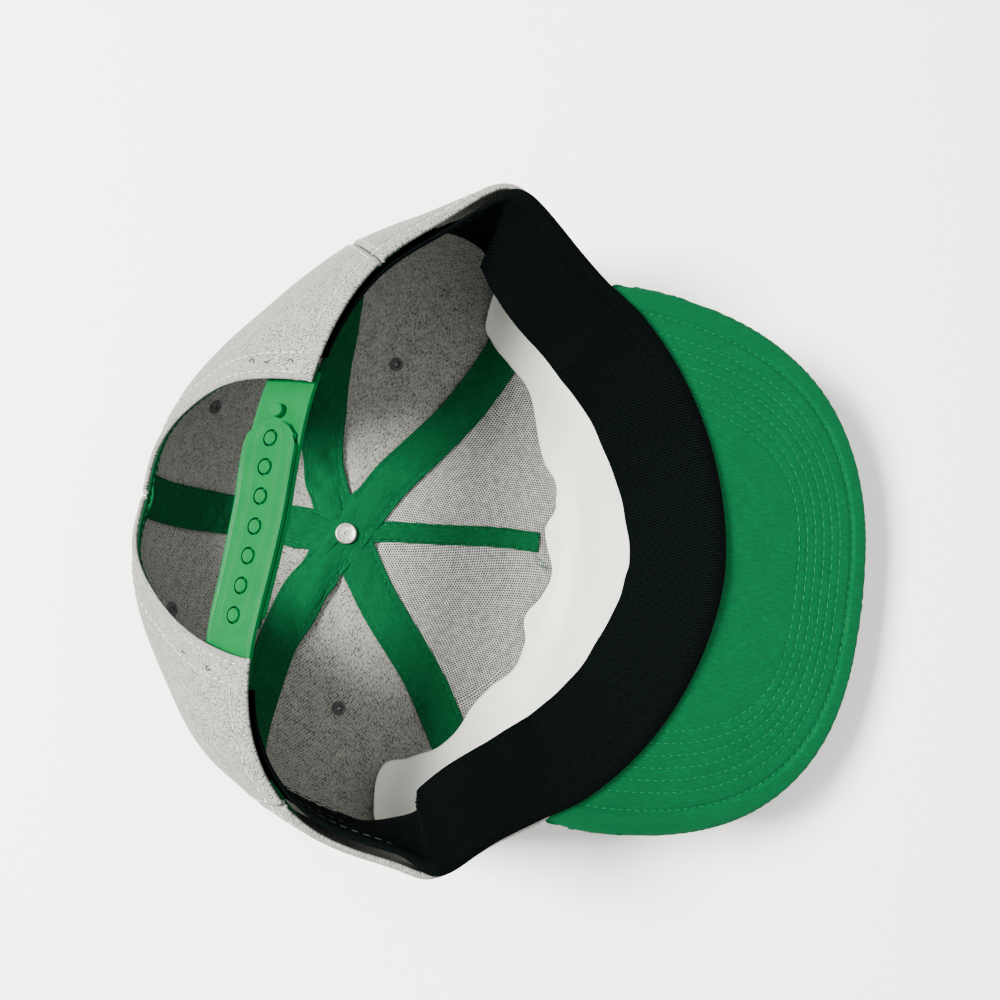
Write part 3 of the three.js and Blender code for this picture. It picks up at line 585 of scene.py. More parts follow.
def beside_line(line, v, offset, depth):
    """A point to the left of a line of disc spots, at a share of the way along it."""
    station = np.linspace(0, 1, len(line[0]))
    p, q, dir_p, dir_q = (np.interp(v, station, part) for part in line)
    return disc_layer(*walk(p, q, dir_p, dir_q, offset), depth)


TAPE_THICK = 0.0007


def tape(name, p, q, width, depth, rows, crease):
    """A tape laid along a line of disc spots, gathered a little where the seam is eased."""
    dp, dq = np.gradient(p), np.gradient(q)
    size = np.hypot(dp, dq)
    line = (p, q, dp / size, dq / size)

    def place(u, v):
        across = 2 * u - 1
        gather = crease * MM * (1 - 0.85 * across ** 2) * (
            0.30 * np.sin(38 * v + 2.0 * across) + 0.22 * np.sin(71 * v - 3.1 * across)
            + 0.12 * np.sin(127 * v + 5.0 * across))
        cushion = 0.00040 * (1 - across ** 2) - 0.0003 * swell(np.abs(across), 0.78, 0.09)
        wander = 0.0003 * np.sin(9 * v + 1.0)
        return beside_line(line, v, across * width / 2 + wander, depth + cushion + gather)

    obj = cloth_sheet(name, 28, rows, place, TAPE_THICK)
    finish_piece(obj, [name], [tape_green, tape_green])
    v = np.linspace(0.01, 0.99, 120)
    return [beside_line(line, v, np.full_like(v, side * width * 0.39), depth + TAPE_THICK + 0.0001)
            for side in (-1, 1)]


left_p, left_q = seam_spots("left_back", 0.985, 0.0)
right_p, right_q = seam_spots("right_front", 0.93, 0.0)
across_spots = np.concatenate([left_p[::-1], right_p[1:]]), np.concatenate([left_q[::-1], right_q[1:]])
TAPE = 0.0145
tape_lines = []
for name, spots, width, rise, rows, crease in (
        ("seam_tape_across", across_spots, TAPE, 0.0009, 220, 1.0),
        ("seam_tape_right_back", seam_spots("right_back", 0.985), TAPE, 0.0004, 120, 1.3),
        ("seam_tape_left_front", seam_spots("left_front", 0.93), TAPE, 0.0004, 120, 0.8),
        ("seam_tape_back", seam_spots("back", ARCH_TOP), TAPE, 0.0004, 100, 0.9),
        ("seam_tape_front", seam_spots("front", 0.335), 0.0072, 0.0005, 80, 0.5)):
    tape_lines += tape(name, *spots, width, LAYER_TWO + rise, rows, crease)
sew("tape_stitching", "green_tape", tape_lines, green_thread, 0.0022, 0.0030, 0.00018)

# Stiffening card
# A smooth white card, thin and springy, that rounds out the front. It lies loose inside the front panels,
# with one edge tucked behind the sweatband and its deep edge cut in waves.
CARD_EDGE = (
    (-90, 0.62), (-85, 0.5), (-75, 0.463), (-65, 0.456), (-60, 0.44), (-53, 0.406),
    (-44, 0.392), (-35, 0.4), (-29, 0.384), (-21, 0.34), (-11, 0.356), (-4, 0.366),
    (6, 0.345), (12, 0.344), (20, 0.394), (25, 0.406), (31, 0.394), (38, 0.405),
    (44, 0.43), (50, 0.464), (60, 0.476), (68, 0.492), (72, 0.52), (75, 0.62),
)
LAYER_THREE = LAYER_TWO + LINING + 0.0008


def smooth_card(name):
    """Matt white card with the faintest mottling."""
    material, tree, shader = nodes_of(name)
    spot = on_piece(tree)
    tone = two_tone(tree, grain(tree, spot, 60.0, 5.0, 0.6), 0.3, (0.50, 0.508, 0.465), 0.7,
                    (0.58, 0.588, 0.54))
    feed(tree, shader, Base_Color=tone, Roughness=0.65, Specular_IOR_Level=0.3)
    relief(tree, shader, grain(tree, spot, 700.0, 2.0), 0.12, 0.0002)
    return material


card_turns, card_shares = np.array(CARD_EDGE, float).T


def smooth_through(xs, ys, x):
    """A smooth line through a table's rows."""
    i = np.clip(np.searchsorted(xs, x, side="right") - 1, 0, len(xs) - 2)
    k = np.clip((x - xs[i]) / (xs[i + 1] - xs[i]), 0, 1)
    return between_rows(xs, ys, np.gradient(ys, xs), i, k)


def card_place(u, v):
    turn = card_turns[0] + (card_turns[-1] - card_turns[0]) * u
    edge = smooth_through(card_turns, card_shares, turn)
    share = edge + (0.93 - edge) * v
    lift = 0.0004 + 0.0009 * np.exp(-v / 0.14) * (1 + 0.6 * np.sin(7 * np.radians(turn) + 1))
    return layer(turn, share, LAYER_THREE + lift)


card = cloth_sheet("front_stiffener_card", 260, 60, card_place, 0.0006)
card_white = smooth_card("white_card")
relax = card.modifiers.new("relax", "SMOOTH")
relax.factor, relax.iterations = 0.5, 10
bpy.context.view_layer.objects.active = card
bpy.ops.object.modifier_apply(modifier="relax")
finish_piece(card, ["front_stiffener_card"], [card_white, card_white])

# Sweatband
# A folded band of black cotton twill that sits on the wearer's forehead. It is sewn over the edge of the rim
# and turned inside, so its deep edge hangs free; rows of sewing run along it.
BAND_DEPTH = LAYER_THREE + 0.0008 + 0.0006
BAND_TOP, BAND_WIDTH = 0.985, 0.0305
BAND_FROM, BAND_TO = -145.0, 149.0
BAND_LEAN = ((0, 39.5), (60, 40.0), (80, 50.0), (96, 64.0), (150, 80.0))
BAND_STITCHES = (0.93, 0.71, 0.46, 0.08)


def share_in(turn, distance, start):
    """Share of the way to the rim at a distance in from a starting share."""
    shares = np.linspace(start, 0.6, round((start - 0.6) / 0.005) + 1)
    reach = lengths(crown(turn[:, None], shares[None, :]))
    return np.array([np.interp(d, r, shares) for d, r in zip(distance, reach)])


def band_point(turn, inward, depth):
    here, before, after = (layer(turn + d, BAND_TOP, BAND_DEPTH) for d in (0, -2, 2))
    along = unit(after - before)
    inside = unit(np.cross([0, 0, 1.0], along))
    lean = np.radians(np.interp(np.abs(turn), *np.array(BAND_LEAN).T))[:, None]
    drop = inside * np.cos(lean) + np.array([0, 0, -1.0]) * np.sin(lean)
    normal = unit(np.cross(along, drop))
    free = here + drop * inward[:, None] - normal * depth[:, None]
    wall = layer(turn, share_in(turn, inward, BAND_TOP), BAND_DEPTH + depth)
    k = np.clip((np.abs(turn) - 90) / 14, 0, 1)
    k = (k * k * (3 - 2 * k))[:, None]
    return free * (1 - k) + wall * k


FOLD_OVER = 0.84  # the rest of the band's rows run up over the rim, where it is sewn on


def band_place(u, v):
    turn = BAND_FROM + (BAND_TO - BAND_FROM) * u
    inside = np.clip(v / FOLD_OVER, 0, 1)
    inward = BAND_WIDTH * (1 - inside)
    t = np.radians(turn)
    sag = (1 - inside) * MM * (0.5 * np.sin(7 * t + 1) + 0.35 * np.sin(17 * t) + 0.2 * np.sin(31 * t + 2))
    rows = sum(0.00025 * swell(inward, BAND_WIDTH * r, 0.0007) for r in BAND_STITCHES)
    puff = 0.0008 * np.sin(np.pi * inside) ** 0.6
    roll = 0.0007 * np.clip(1 - inside / 0.06, 0, 1) ** 2
    point = band_point(turn, inward, sag + puff - rows - roll)
    over = np.clip((v - FOLD_OVER) / (1 - FOLD_OVER), 0, 1)[:, None]
    front = np.clip((100 - np.abs(turn)) / 12, 0, 1)
    front = (front * front * (3 - 2 * front))[:, None]
    beside = np.clip((np.abs(turn) - 60) / 8, 0, 1)
    up = unit(crown(turn, 1.0) - crown(turn, 0.96))
    edge = layer(turn, 1.0, -0.0005 + 0.0012 * beside) + up * 0.0002
    tucked = layer(turn, BAND_TOP + 0.006, BAND_DEPTH - 0.0006)
    last = tucked * (1 - front) + edge * front
    crest = (point + last) / 2 + up * (0.0008 + 0.0026 * front)
    wrapped = point * (1 - over) ** 2 + crest * 2 * over * (1 - over) + last * over ** 2
    return np.where(over > 0, wrapped, point)


def black_twill(name):
    """Black twill: fine ribs slanting across the band, catching a little grey light."""
    material, tree, shader = nodes_of(name)
    weave = add_node(tree, "UVMap")
    slant = add_node(tree, "Mapping", in_Vector=weave, in_Rotation=(0, 0, math.radians(18)))
    ribs = ribbing(tree, slant, "X", 0.314 / 0.0009, 1.0, 1.2)
    total = add_node(tree, "Math", operation="MULTIPLY", in_0=ribs,
                     in_1=grain(tree, weave, 900.0, 3.0, 0.7))
    tone = two_tone(tree, total, 0.12, (0.0002, 0.0006, 0.0006), 0.66, (0.0026, 0.0042, 0.0042))
    feed(tree, shader, Base_Color=tone, Roughness=1.0, Specular_IOR_Level=0.02)
    relief(tree, shader, total, 0.25, 0.0003)
    return material
band_black = black_twill("black_band_twill")
band = cloth_sheet("sweatband", 330, 76, band_place, 0.0010)
finish_piece(band, ["sweatband"], [band_black, band_black])
band_thread = plain_thread("band_thread", (0.010, 0.013, 0.014))
turns = np.linspace(BAND_FROM + 2, BAND_TO - 2, 500)
band_rows = [band_point(turns, np.full_like(turns, BAND_WIDTH * r), np.full_like(turns, 0.00165))
             for r in BAND_STITCHES]
sew("band_stitching", "black_twill", band_rows, band_thread, 0.0026, 0.0036, 0.0002)

# Arch binding
# Narrow green woven tape that covers the raw edge of the arch, so that it can't fray. It is laid along the
# inside of the edge and sewn down in two rows, and more sewing shows on the outside.
angles = np.linspace(0.05, np.pi - 0.05, 160)
right = arch_spot("right", np.minimum(angles, np.pi / 2))
left = arch_spot("left", np.maximum(np.pi - angles, 0))
arch_turn, arch_share = (np.where(angles <= np.pi / 2, right[k], left[k]) for k in (0, 1))
arch_p = arch_share * np.cos(np.radians(arch_turn))
arch_q = arch_share * np.sin(np.radians(arch_turn))
arch_line = (arch_p, arch_q, np.gradient(arch_p), np.gradient(arch_q))


def beside_arch(v, offset, depth):
    return beside_line(arch_line, v, offset, depth)


def binding_place(u, v):
    round_off = 0.0006 * (2 * u - 1) ** 4
    return beside_arch(v, (u * 4.6 + 1.4) * MM, CLOTH + 0.0004 - round_off)


binding = cloth_sheet("arch_binding", 12, 150, binding_place, 0.0008)
finish_piece(binding, ["arch_binding"], [tape_green, tape_green])
v = np.linspace(0.02, 0.98, 200)
binding_rows = [beside_arch(v, np.full_like(v, side), CLOTH + 0.00128) for side in (0.0022, 0.0052)]
sew("binding_stitching", "green_tape", binding_rows, green_thread, 0.0022, 0.0030, 0.00018)
arch_rows = [beside_arch(v, np.full_like(v, side), -0.0001) for side in (0.0022, 0.0085)]
sew("arch_topstitching", "crown_cloth", arch_rows, grey_thread, 0.0026, 0.0034)

# Visor
# A stiff flat board covered in kelly-green twill on both faces, the covers turned together round its edge and
# sewn through in rows that follow the edge; it is stitched to the front of the rim.
rim_front = (SECTION["front"][-1] - SECTION["wide"][-1]) * LENGTH
VISOR_TILT = math.atan2((SECTION["z_side"][-1] - SECTION["z_front"][-1]) * HEIGHT, rim_front)
visor_tip = crown(0.0, 1.0)
visor_along = np.array([math.cos(VISOR_TILT), 0, -math.sin(VISOR_TILT)])
visor_up = np.array([math.sin(VISOR_TILT), 0, math.cos(VISOR_TILT)])
REACH, WIDE, WIDEST, END_TURN = 70.0, 88.5, 34.0, 67.0


def visor_edge(side):
    """The edge in the visor's plane, in millimetres: 0 is the middle of the front, 1 the end at the crown."""
    s = np.abs(side)
    end = (crown(END_TURN, 1.0) - visor_tip) / MM
    angle = np.minimum(s / 0.8, 1) * np.pi / 2
    k = np.clip((s - 0.8) / 0.2, 0, 1)
    a = np.where(s <= 0.8, (REACH + WIDEST) * np.abs(np.cos(angle)) ** 0.8 - WIDEST,
                 -WIDEST + (end @ visor_along + WIDEST) * k)
    b = np.where(s <= 0.8, WIDE * np.abs(np.sin(angle)) ** 0.8, WIDE + (end[1] + 0.6 - WIDE) * k * k)
    return np.stack([a, b * np.sign(side)], -1)


edge_line = visor_edge(np.linspace(-1, 1, 1201))
edge_reach = lengths(edge_line)


def along_edge(fraction):
    return np.stack([np.interp(fraction * edge_reach[-1], edge_reach, edge_line[:, k]) for k in (0, 1)], -1)


def from_edge(ab):
    """How far spots in the visor's plane lie from its edge, in millimetres, a few thousand at a time."""
    out = np.empty(len(ab))
    for i in range(0, len(ab), 4000):
        out[i:i + 4000] = np.sqrt(((ab[i:i + 4000, None] - edge_line[None, ::3]) ** 2).sum(-1)).min(1)
    return out


def visor_point(ab, up):
    point = visor_tip + (ab[:, :1] * visor_along + up[:, None] * visor_up) * MM
    point[:, 1] += ab[:, 1] * MM
    return point


VISOR_ROWS = (14.0, 18.0, 22.0, 26.0, 30.0, 34.0)
BORDER_ROW = 8.0
EDGE_ROUND = 1.9
MIDDLE = -(0.3 + EDGE_ROUND + 0.15)


def visor_cover(name, faces_up, columns=260, rows=84):
    """One cover, from the crown out to the rounded edge. The underside faces up as the cap lies."""
    sign = 1 if faces_up else -1

    def place(u, v):
        side = 1 - u if faces_up else u
        outer = along_edge(side)
        inner3 = (crown((2 * side - 1) * END_TURN, 1.0) - visor_tip) / MM
        inner = np.stack([inner3 @ visor_along - 1.0, inner3[:, 1]], -1)
        k = 1 - (1 - v) ** 1.25
        ab = inner + (outer - inner) * k[:, None]
        away = from_edge(ab)
        away = np.where(v >= 1, 0, away)
        up = np.full(len(ab), 2.0)
        up = up - 1.95 * (1 - np.sqrt(np.clip(1 - (1 - np.clip(away / EDGE_ROUND, 0, 1)) ** 2, 0, 1)))
        if faces_up:
            up = up - 0.55 * swell(away, BORDER_ROW, 0.8) + 0.12 * swell(away, 5.0, 2.2)
        for row in VISOR_ROWS if faces_up else (BORDER_ROW,) + VISOR_ROWS:
            up = up - 0.16 * swell(away, row, 0.7)
        up = up + 0.10 * np.sin(ab[:, 0] / 9 + 1) * np.sin(ab[:, 1] / 13)
        return visor_point(ab, MIDDLE + sign * up)

    return cloth_sheet(name, columns, rows, place, 0.0007)


green_cloth = woven_tape("kelly_green_twill", (0.0, 0.052, 0.015), (0.0, 0.106, 0.033), 0.00085)
under = visor_cover("visor_underside", True)
finish_piece(under, ["visor_underside"], [green_cloth, green_cloth])
over = visor_cover("visor_top", False)
finish_piece(over, ["visor_top"], [green_cloth, green_cloth])


def visor_row(distance, up):
    slope = unit(np.gradient(edge_line, axis=0))
    inward = np.stack([-slope[:, 1], slope[:, 0]], -1)
    line = edge_line + inward * distance
    keep = from_edge(line) > distance - 0.6
    line = line[keep]
    rim = (crown(np.linspace(-END_TURN, END_TURN, 200), 1.0) - visor_tip) / MM
    rim = np.stack([rim @ visor_along, rim[:, 1]], -1)
    limit = np.interp(line[:, 1], rim[:, 1], rim[:, 0])
    line = line[line[:, 0] > limit + 1.5]
    return visor_point(line, np.full(len(line), up))


visor_thread = plain_thread("visor_thread", (0.0004, 0.100, 0.030))
sew("visor_stitching", "green_twill",
    [visor_row(d, MIDDLE + 1.92) for d in VISOR_ROWS] + [visor_row(8.2, MIDDLE + 1.55)]
    + [visor_row(d, MIDDLE - 1.92) for d in (BORDER_ROW,) + VISOR_ROWS],
    visor_thread, 0.0027, 0.0034, 0.00022)

# Plastic straps
# Two moulded straps of bright green soft plastic sewn under the back panels. Seven round holes in one snap
# over the pegs of the other, and raised lips run along both edges.
STRAP_WIDTH, STRAP_IN, STRAP_THICK, RIDGE = 0.0195, 0.0022, 0.00125, 0.0004
HOLES_DEPTH = LAYER_TWO + RIDGE + 0.00035
PEGS_DEPTH = HOLES_DEPTH + STRAP_THICK + 0.0003 + RIDGE + 0.0001
strap_turns = np.arange(140.0, 222.5, 1.0)
strap_signed = np.where(strap_turns > 180, strap_turns - 360, strap_turns)
strap_shares = share_in(strap_signed, np.full_like(strap_signed, STRAP_WIDTH / 2 + STRAP_IN), 1.0)
strap_reach = lengths(crown(strap_turns, strap_shares))
strap_reach -= strap_reach[40]


def strap_spot(distance):
    turn = np.radians(np.interp(distance, strap_reach, strap_turns))
    share = np.interp(distance, strap_reach, strap_shares)
    return share * np.cos(turn), share * np.sin(turn)


def strap_point(along, across, depth):
    p, q = strap_spot(along)
    p1, q1 = strap_spot(along + 0.0005)
    return disc_layer(*walk(p, q, p1 - p, q1 - q, across), depth)


right_edge = np.interp(180 - ARCH_RIGHT, strap_turns, strap_reach)
left_edge = np.interp(180 + ARCH_LEFT, strap_turns, strap_reach)
HOLE_PITCH, STRAP_END = 0.0089, 0.0058
holed_from = right_edge + 0.013
first_hole = holed_from + STRAP_END
strap_holes = [first_hole + i * HOLE_PITCH for i in range(7)]
pegs_end = first_hole + HOLE_PITCH * 6 + STRAP_END


def glossy_plastic(name, colour):
    """Glossy injection-moulded plastic with faint flow waves and fine scuffs."""
    material, tree, shader = nodes_of(name)
    spot = on_piece(tree)
    wave = grain(tree, spot, 130.0, 2.0)
    rough = spread(tree, grain(tree, spot, 700.0, 5.0, 0.7), 0.35, 0.7, 0.30, 0.46)
    feed(tree, shader, Base_Color=uneven(tree, wave, colour, 0.92, 1.06), Roughness=rough,
         Specular_IOR_Level=0.03)
    relief(tree, shader, wave, 0.25, 0.0003)
    return material


emerald = glossy_plastic("emerald_plastic", (0.0, 0.072, 0.017))


def pick(*pieces):
    """Selects these pieces and nothing else, with the first one active."""
    bpy.ops.object.select_all(action="DESELECT")
    for piece in pieces:
        piece.select_set(True)
    bpy.context.view_layer.objects.active = pieces[0]


def lie_at(centre, normal):
    """Sets a part down on a point with its own up along the normal there."""
    return Matrix.Translation(Vector(centre)) @ Vector(normal).to_track_quat("Z", "Y").to_matrix().to_4x4()


def strap(name, start, end, depth, round_at, columns, holes):
    half = STRAP_WIDTH / 2

    def place(u, v):
        k = v ** 1.5 if round_at == "start" else 1 - (1 - v) ** 1.5
        along = start + (end - start) * k
        to_round = along - start if round_at == "start" else end - along
        flat = np.clip(to_round / (half * 0.9), 0, 1)
        share = np.sqrt(np.clip(1 - (1 - flat) ** 2, 0.0009, 1))
        across = np.sin((u - 0.5) * np.pi) * half * share
        rim = np.abs(across) / half
        lip = swell(rim, 0.90, 0.055) - 0.6 * np.clip((rim - 0.93) / 0.07, 0, 1) ** 2
        end_lip = swell(np.minimum(to_round, half), 0.0010, 0.0007) * (share < 0.95)
        raised = RIDGE * np.clip(np.maximum(lip, end_lip * 0.9), -0.6, 1)
        if holes:  # a raised line runs round the row of holes
            beyond = along - np.clip(along, holes[0], holes[-1])
            raised = raised + 0.00028 * swell(np.hypot(beyond, across), 0.0047, 0.0004)
        return strap_point(along, across, depth - raised)

    obj = cloth_sheet(name, columns, 150, place, STRAP_THICK)
    for at in holes:
        centre = strap_point(np.array([at]), np.array([0.0]), np.array([depth]))[0]
        normal = disc_axes(*strap_spot(np.array([at])))[2][0]
        bpy.ops.object.select_all(action="DESELECT")
        bpy.ops.mesh.primitive_cylinder_add(vertices=36, radius=0.00265, depth=0.008, location=centre)
        drill = bpy.context.object
        drill.rotation_mode = "QUATERNION"
        drill.rotation_quaternion = Vector(normal).to_track_quat("Z", "Y")
        bore = obj.modifiers.new("hole", "BOOLEAN")
        bore.object, bore.operation, bore.solver = drill, "DIFFERENCE", "EXACT"
        pick(obj)
        bpy.ops.object.modifier_apply(modifier="hole")
        bpy.data.objects.remove(drill)
    bpy.ops.object.shade_smooth_by_angle(angle=math.radians(42))
    return obj


holed = strap("strap_with_holes", holed_from, left_edge + 0.006, HOLES_DEPTH, "start", 64, strap_holes)
finish_piece(holed, ["strap_with_holes"], [emerald, emerald])
pegged = strap("strap_with_pegs", right_edge - 0.004, pegs_end, PEGS_DEPTH, "end", 44, [])
pegged.data.materials.append(emerald)
bpy.ops.object.select_all(action="DESELECT")
bpy.ops.mesh.primitive_cylinder_add(vertices=28, radius=0.0021, depth=0.0031)
peg = bpy.context.object
bpy.ops.object.mode_set(mode="EDIT")
bpy.ops.mesh.select_all(action="SELECT")
bpy.ops.mesh.bevel(offset=0.00045, segments=3, affect="EDGES")
bpy.ops.object.mode_set(mode="OBJECT")
pegs = [pegged]
for i in range(-1, 7):
    at = np.array([first_hole + i * HOLE_PITCH])
    centre = strap_point(at, np.array([0.0]), np.array([PEGS_DEPTH - 0.0009]))[0]
    copy = peg.copy()
    copy.data = peg.data.copy()
    bpy.context.collection.objects.link(copy)
    copy.data.transform(lie_at(centre, disc_axes(*strap_spot(at))[2][0]))
    copy.data.materials.append(emerald)
    pegs.append(copy)
bpy.data.objects.remove(peg)
pick(*pegs)
bpy.ops.object.join()
bpy.ops.object.shade_smooth_by_angle(angle=math.radians(42))
for polygon in pegged.data.polygons:
    polygon.material_index = 0
finish_piece(pegged, ["strap_with_pegs"], [])

# Button and rivet
# A pressed metal button covered in green twill sits outside on the seams' meeting point, and its pale rivet
# shows inside as a small dished disc.
button_spot = crown(0.0, 0.0)


def lathe(name, profile, centre, material, segments=56):
    """A profile spun round an upright axis in edit mode."""
    bpy.ops.object.select_all(action="DESELECT")
    bpy.ops.mesh.primitive_plane_add(size=0.001)
    obj = bpy.context.object
    obj.name = obj.data.name = name
    mesh = bpy.data.meshes.new(name)
    mesh.from_pydata([(r, 0, z) for r, z in profile], [(i, i + 1) for i in range(len(profile) - 1)], [])
    obj.data = mesh
    bpy.ops.object.mode_set(mode="EDIT")
    bpy.ops.mesh.select_all(action="SELECT")
    bpy.ops.mesh.spin(steps=segments, angle=2 * math.pi, center=(0, 0, 0), axis=(0, 0, 1))
    bpy.ops.mesh.select_all(action="SELECT")
    bpy.ops.mesh.remove_doubles(threshold=0.00001)
    bpy.ops.mesh.normals_make_consistent(inside=False)
    bpy.ops.object.mode_set(mode="OBJECT")
    mesh.transform(Matrix.Translation(Vector(centre)))
    obj.location = (0, 0, 0)
    bpy.ops.object.shade_smooth_by_angle(angle=math.radians(50))
    mesh.materials.append(material)
    return obj


def cloth_on_button(name):
    """The visor's green twill, with its ribs seen close."""
    material, tree, shader = nodes_of(name)
    ribs = add_node(tree, "TexWave", bands_direction="DIAGONAL", in_Scale=740.0, in_Distortion=1.5,
                    in_Vector=on_piece(tree))
    tone = two_tone(tree, ribs.outputs["Color"], 0.0, (0.0004, 0.07, 0.018), 1.0, (0.001, 0.15, 0.042))
    feed(tree, shader, Base_Color=tone, Roughness=0.88)
    relief(tree, shader, ribs.outputs["Fac"], 0.4, 0.0003)
    return material


button_profile = [(0, 0), (0.0044, 0.00003), (0.0057, 0.0004), (0.0066, 0.0012), (0.00695, 0.0021),
                  (0.0068, 0.0029), (0.0062, 0.0034), (0.0049, 0.0038), (0, 0.0041)]
button = lathe("button_cover", button_profile, (button_spot[0], button_spot[1], 0.0),
               cloth_on_button("button_twill"))
finish_piece(button, ["button_cover"], [])


def worn_metal(name):
    """Pale pressed metal, mottled by brighter wear and small dull spots."""
    material, tree, shader = nodes_of(name)
    spots = grain(tree, on_piece(tree), 900.0, 4.0)
    rough = spread(tree, spots, 0.3, 0.7, 0.28, 0.5)
    tone = two_tone(tree, spots, 0.3, (0.20, 0.192, 0.18), 0.65, (0.38, 0.365, 0.34))
    feed(tree, shader, Base_Color=tone, Roughness=rough, Metallic=0.75)
    return material


rivet_profile = [(0, 0), (0.0036, 0), (0.0038, 0.0003), (0.0037, 0.0008), (0.0034, 0.0010),
                 (0.0030, 0.0009), (0.0026, 0.0007), (0.0007, 0.0008), (0.0005, 0.0005), (0, 0.0004)]
rivet_base = button_spot[2] + LAYER_THREE + 0.0002
rivet = lathe("button_rivet", rivet_profile, (button_spot[0], button_spot[1], rivet_base),
              worn_metal("rivet_metal"))
finish_piece(rivet, ["button_rivet"], [])

# Eyelets
# Small vent holes, one in each side and back panel. Each is punched in the cloth and sewn round by machine in
# dark thread, so a ring of close turns shows on both faces.
EYELET_RADIUS, EYELET_HOLE = 0.0026, 0.0006
RING_RADIUS = (EYELET_RADIUS + EYELET_HOLE) / 2
eyelet_thread = plain_thread("eyelet_thread", (0.085, 0.088, 0.09))
for name, turn, share in (("eyelet_back_right", 154.7, 0.492), ("eyelet_back_left", -156.0, 0.512),
                          ("eyelet_side_right", 89.4, 0.366), ("eyelet_side_left", -92.4, 0.354)):
    p = np.array([share * math.cos(math.radians(turn))])
    q = np.array([share * math.sin(math.radians(turn))])
    centre, normal = disc_layer(p, q, np.array([CLOTH / 2]))[0], disc_axes(p, q)[2][0]
    bpy.ops.object.select_all(action="DESELECT")
    bpy.ops.mesh.primitive_torus_add(major_segments=96, minor_segments=14,
                                     major_radius=RING_RADIUS,
                                     minor_radius=(EYELET_RADIUS - EYELET_HOLE) / 2)
    ring = bpy.context.object
    ring.name = ring.data.name = name
    bpy.ops.object.mode_set(mode="EDIT")
    bpy.ops.mesh.select_all(action="SELECT")
    bpy.ops.transform.resize(value=(1, 1, 1.75))
    bpy.ops.object.mode_set(mode="OBJECT")
    co = np.array([v.co[:] for v in ring.data.vertices])
    angle = np.arctan2(co[:, 1], co[:, 0])
    wrap = 1 + 0.10 * np.sin(24 * angle + 0.6 * np.sin(5 * angle))  # the turns of thread round the hole
    middle = np.stack([np.cos(angle), np.sin(angle), 0 * angle], -1) * RING_RADIUS
    co = middle + (co - middle) * wrap[:, None]
    ring.data.vertices.foreach_set("co", co.ravel())
    ring.data.transform(lie_at(centre, normal))
    bpy.ops.object.shade_smooth_by_angle(angle=math.radians(60))
    finish_piece(ring, [name], [eyelet_thread])

# Loose thread ends
# Short ends of sewing thread left at the cut end of the front tape and at both ends of the arch. Each is held
# by its own seam, and the rest of it lies loose on the cloth.
def loose_thread(name, points, material, radius=0.00013):
    """A few points joined by a round smooth thread."""
    curve = bpy.data.curves.new(name, "CURVE")
    curve.dimensions, curve.bevel_depth, curve.bevel_resolution, curve.resolution_u = "3D", radius, 2, 8
    spline = curve.splines.new("BEZIER")
    spline.bezier_points.add(len(points) - 1)
    for spot, point in zip(spline.bezier_points, points):
        spot.co = point
        spot.handle_left_type = spot.handle_right_type = "AUTO"
    curve.use_fill_caps = True
    line = bpy.data.objects.new(name, curve)
    bpy.context.collection.objects.link(line)
    pick(line)
    bpy.ops.object.convert(target="MESH")
    obj = bpy.context.object
    obj.name = obj.data.name = name
    smooth(obj.data)
    obj.data.materials.clear()
    return finish_piece(obj, [], [material])


def inside(turn, share, depth):
    return layer(np.array([turn], float), np.array([share]), np.array([depth]))[0]


def on_arch(v, offset, out):
    return beside_arch(np.array([v]), np.array([offset * MM]), -out * MM)[0]


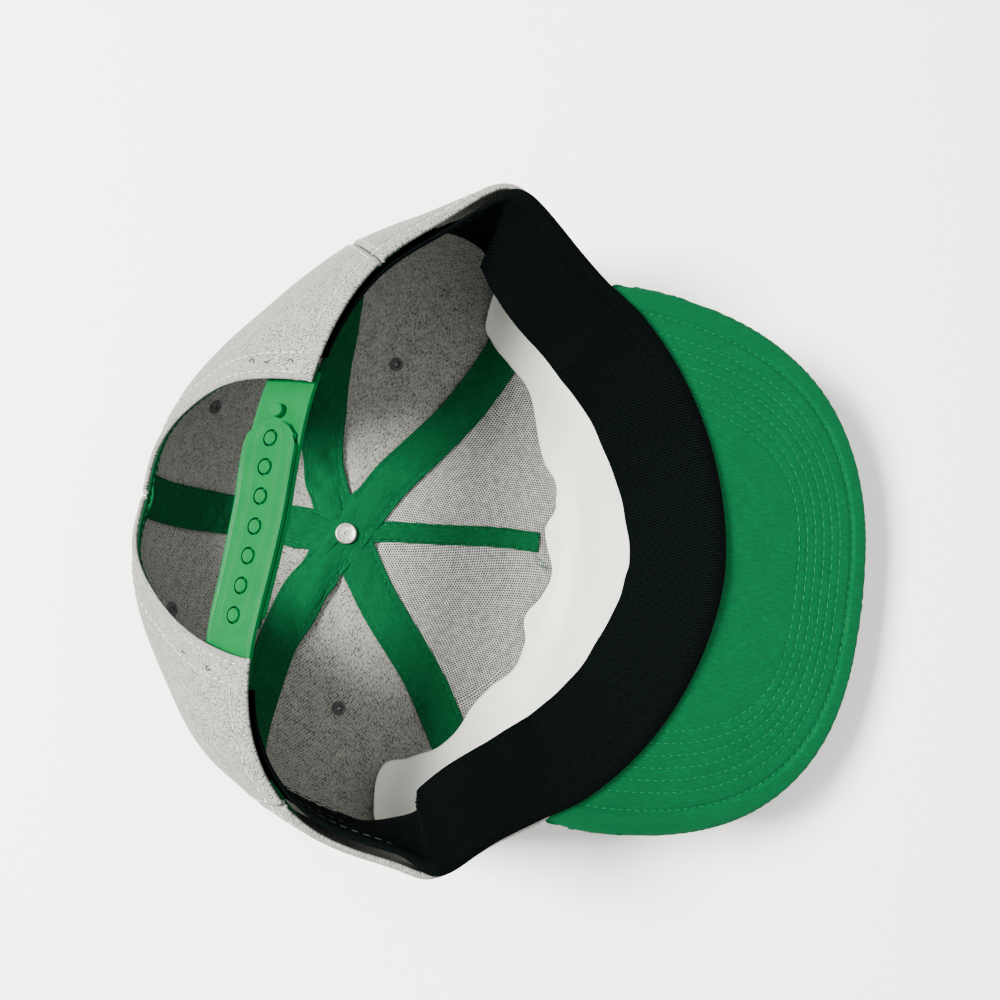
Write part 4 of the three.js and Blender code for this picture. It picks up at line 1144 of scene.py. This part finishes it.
dark_thread = plain_thread("dark_thread", (0.006, 0.007, 0.008))
arch_ends = ((0.055, 5.0, 0.012, 1.0), (0.100, 6.0, 0.008, -1.2), (0.125, 5.2, 0.009, 1.4),
             (0.905, 6.0, 0.010, 1.0), (0.850, 7.0, 0.008, -0.8))
for number, (v, offset, length, bend) in enumerate(arch_ends):
    loose_thread(f"arch_thread_end_{number + 1}",
                 [on_arch(v, offset, 0.05), on_arch(v + length * 0.5, offset + bend, 0.75),
                  on_arch(v + length, offset + bend * 0.4, 0.35)], dark_thread)
tape_ends = {
    "front_tape_end_thread": ((0.2, 0.325, 0.0034), (-1.6, 0.341, 0.0040), (-1.4, 0.350, 0.0042),
                              (-3.2, 0.358, 0.0038)),
    "front_tape_end_thread_two": ((1.4, 0.328, 0.0034), (-0.4, 0.344, 0.0041), (-2.6, 0.350, 0.0038)),
}
for name, spots in tape_ends.items():
    loose_thread(name, [inside(*spot) for spot in spots], green_thread)

# Camera, light and table
# The cap lies on a pale table under soft daylight from the left. The camera looks down from above, a little
# behind the cap.
bpy.ops.object.camera_add(
    location=((-68.133 + SHIFT_X) * MM, (-44.311 + SHIFT_Y) * MM, 577.72 * MM),
    rotation=(math.radians(5.342), math.radians(-8.298), math.radians(7.4116)))
camera = bpy.context.object
camera.data.sensor_width, camera.data.lens = 36.0, 57.6
camera.data.clip_start = 0.01
bpy.context.scene.camera = camera

bpy.ops.mesh.primitive_plane_add(size=6, location=(0, 0, 0))
table = bpy.context.object
table.name = "table"
table_paint, table_tree, table_shader = nodes_of("pale_table")
feed(table_tree, table_shader, Base_Color=(0.985, 0.985, 0.97, 1), Roughness=0.8, Specular_IOR_Level=0.1)
table.data.materials.append(table_paint)

for light_name, place, size, power, colour in (
        ("window", (-1.12, 0.0, 1.45), 0.45, 172.0, (1.0, 0.985, 0.955)),
        ("room", (0.5, -0.7, 1.7), 1.6, 8.0, (0.96, 0.98, 1.0)),
        ("ceiling", (0.1, 0.25, 2.2), 2.0, 36.0, (1.0, 1.0, 0.99))):
    bpy.ops.object.light_add(type="AREA", location=place)
    lamp = bpy.context.object
    lamp.name = light_name
    lamp.data.size, lamp.data.energy, lamp.data.color = size, power, colour
    aim = np.array([0.0, 0.0, 0.05]) - np.array(place)
    lamp.rotation_euler = (math.atan2(math.hypot(aim[0], aim[1]), -aim[2]), 0.0,
                           math.atan2(aim[1], aim[0]) - math.pi / 2)
world = bpy.data.worlds.new("studio")
bpy.context.scene.world = world
world.use_nodes = True
world.node_tree.nodes["Background"].inputs[0].default_value = (1, 1, 1, 1)
world.node_tree.nodes["Background"].inputs[1].default_value = 0.50
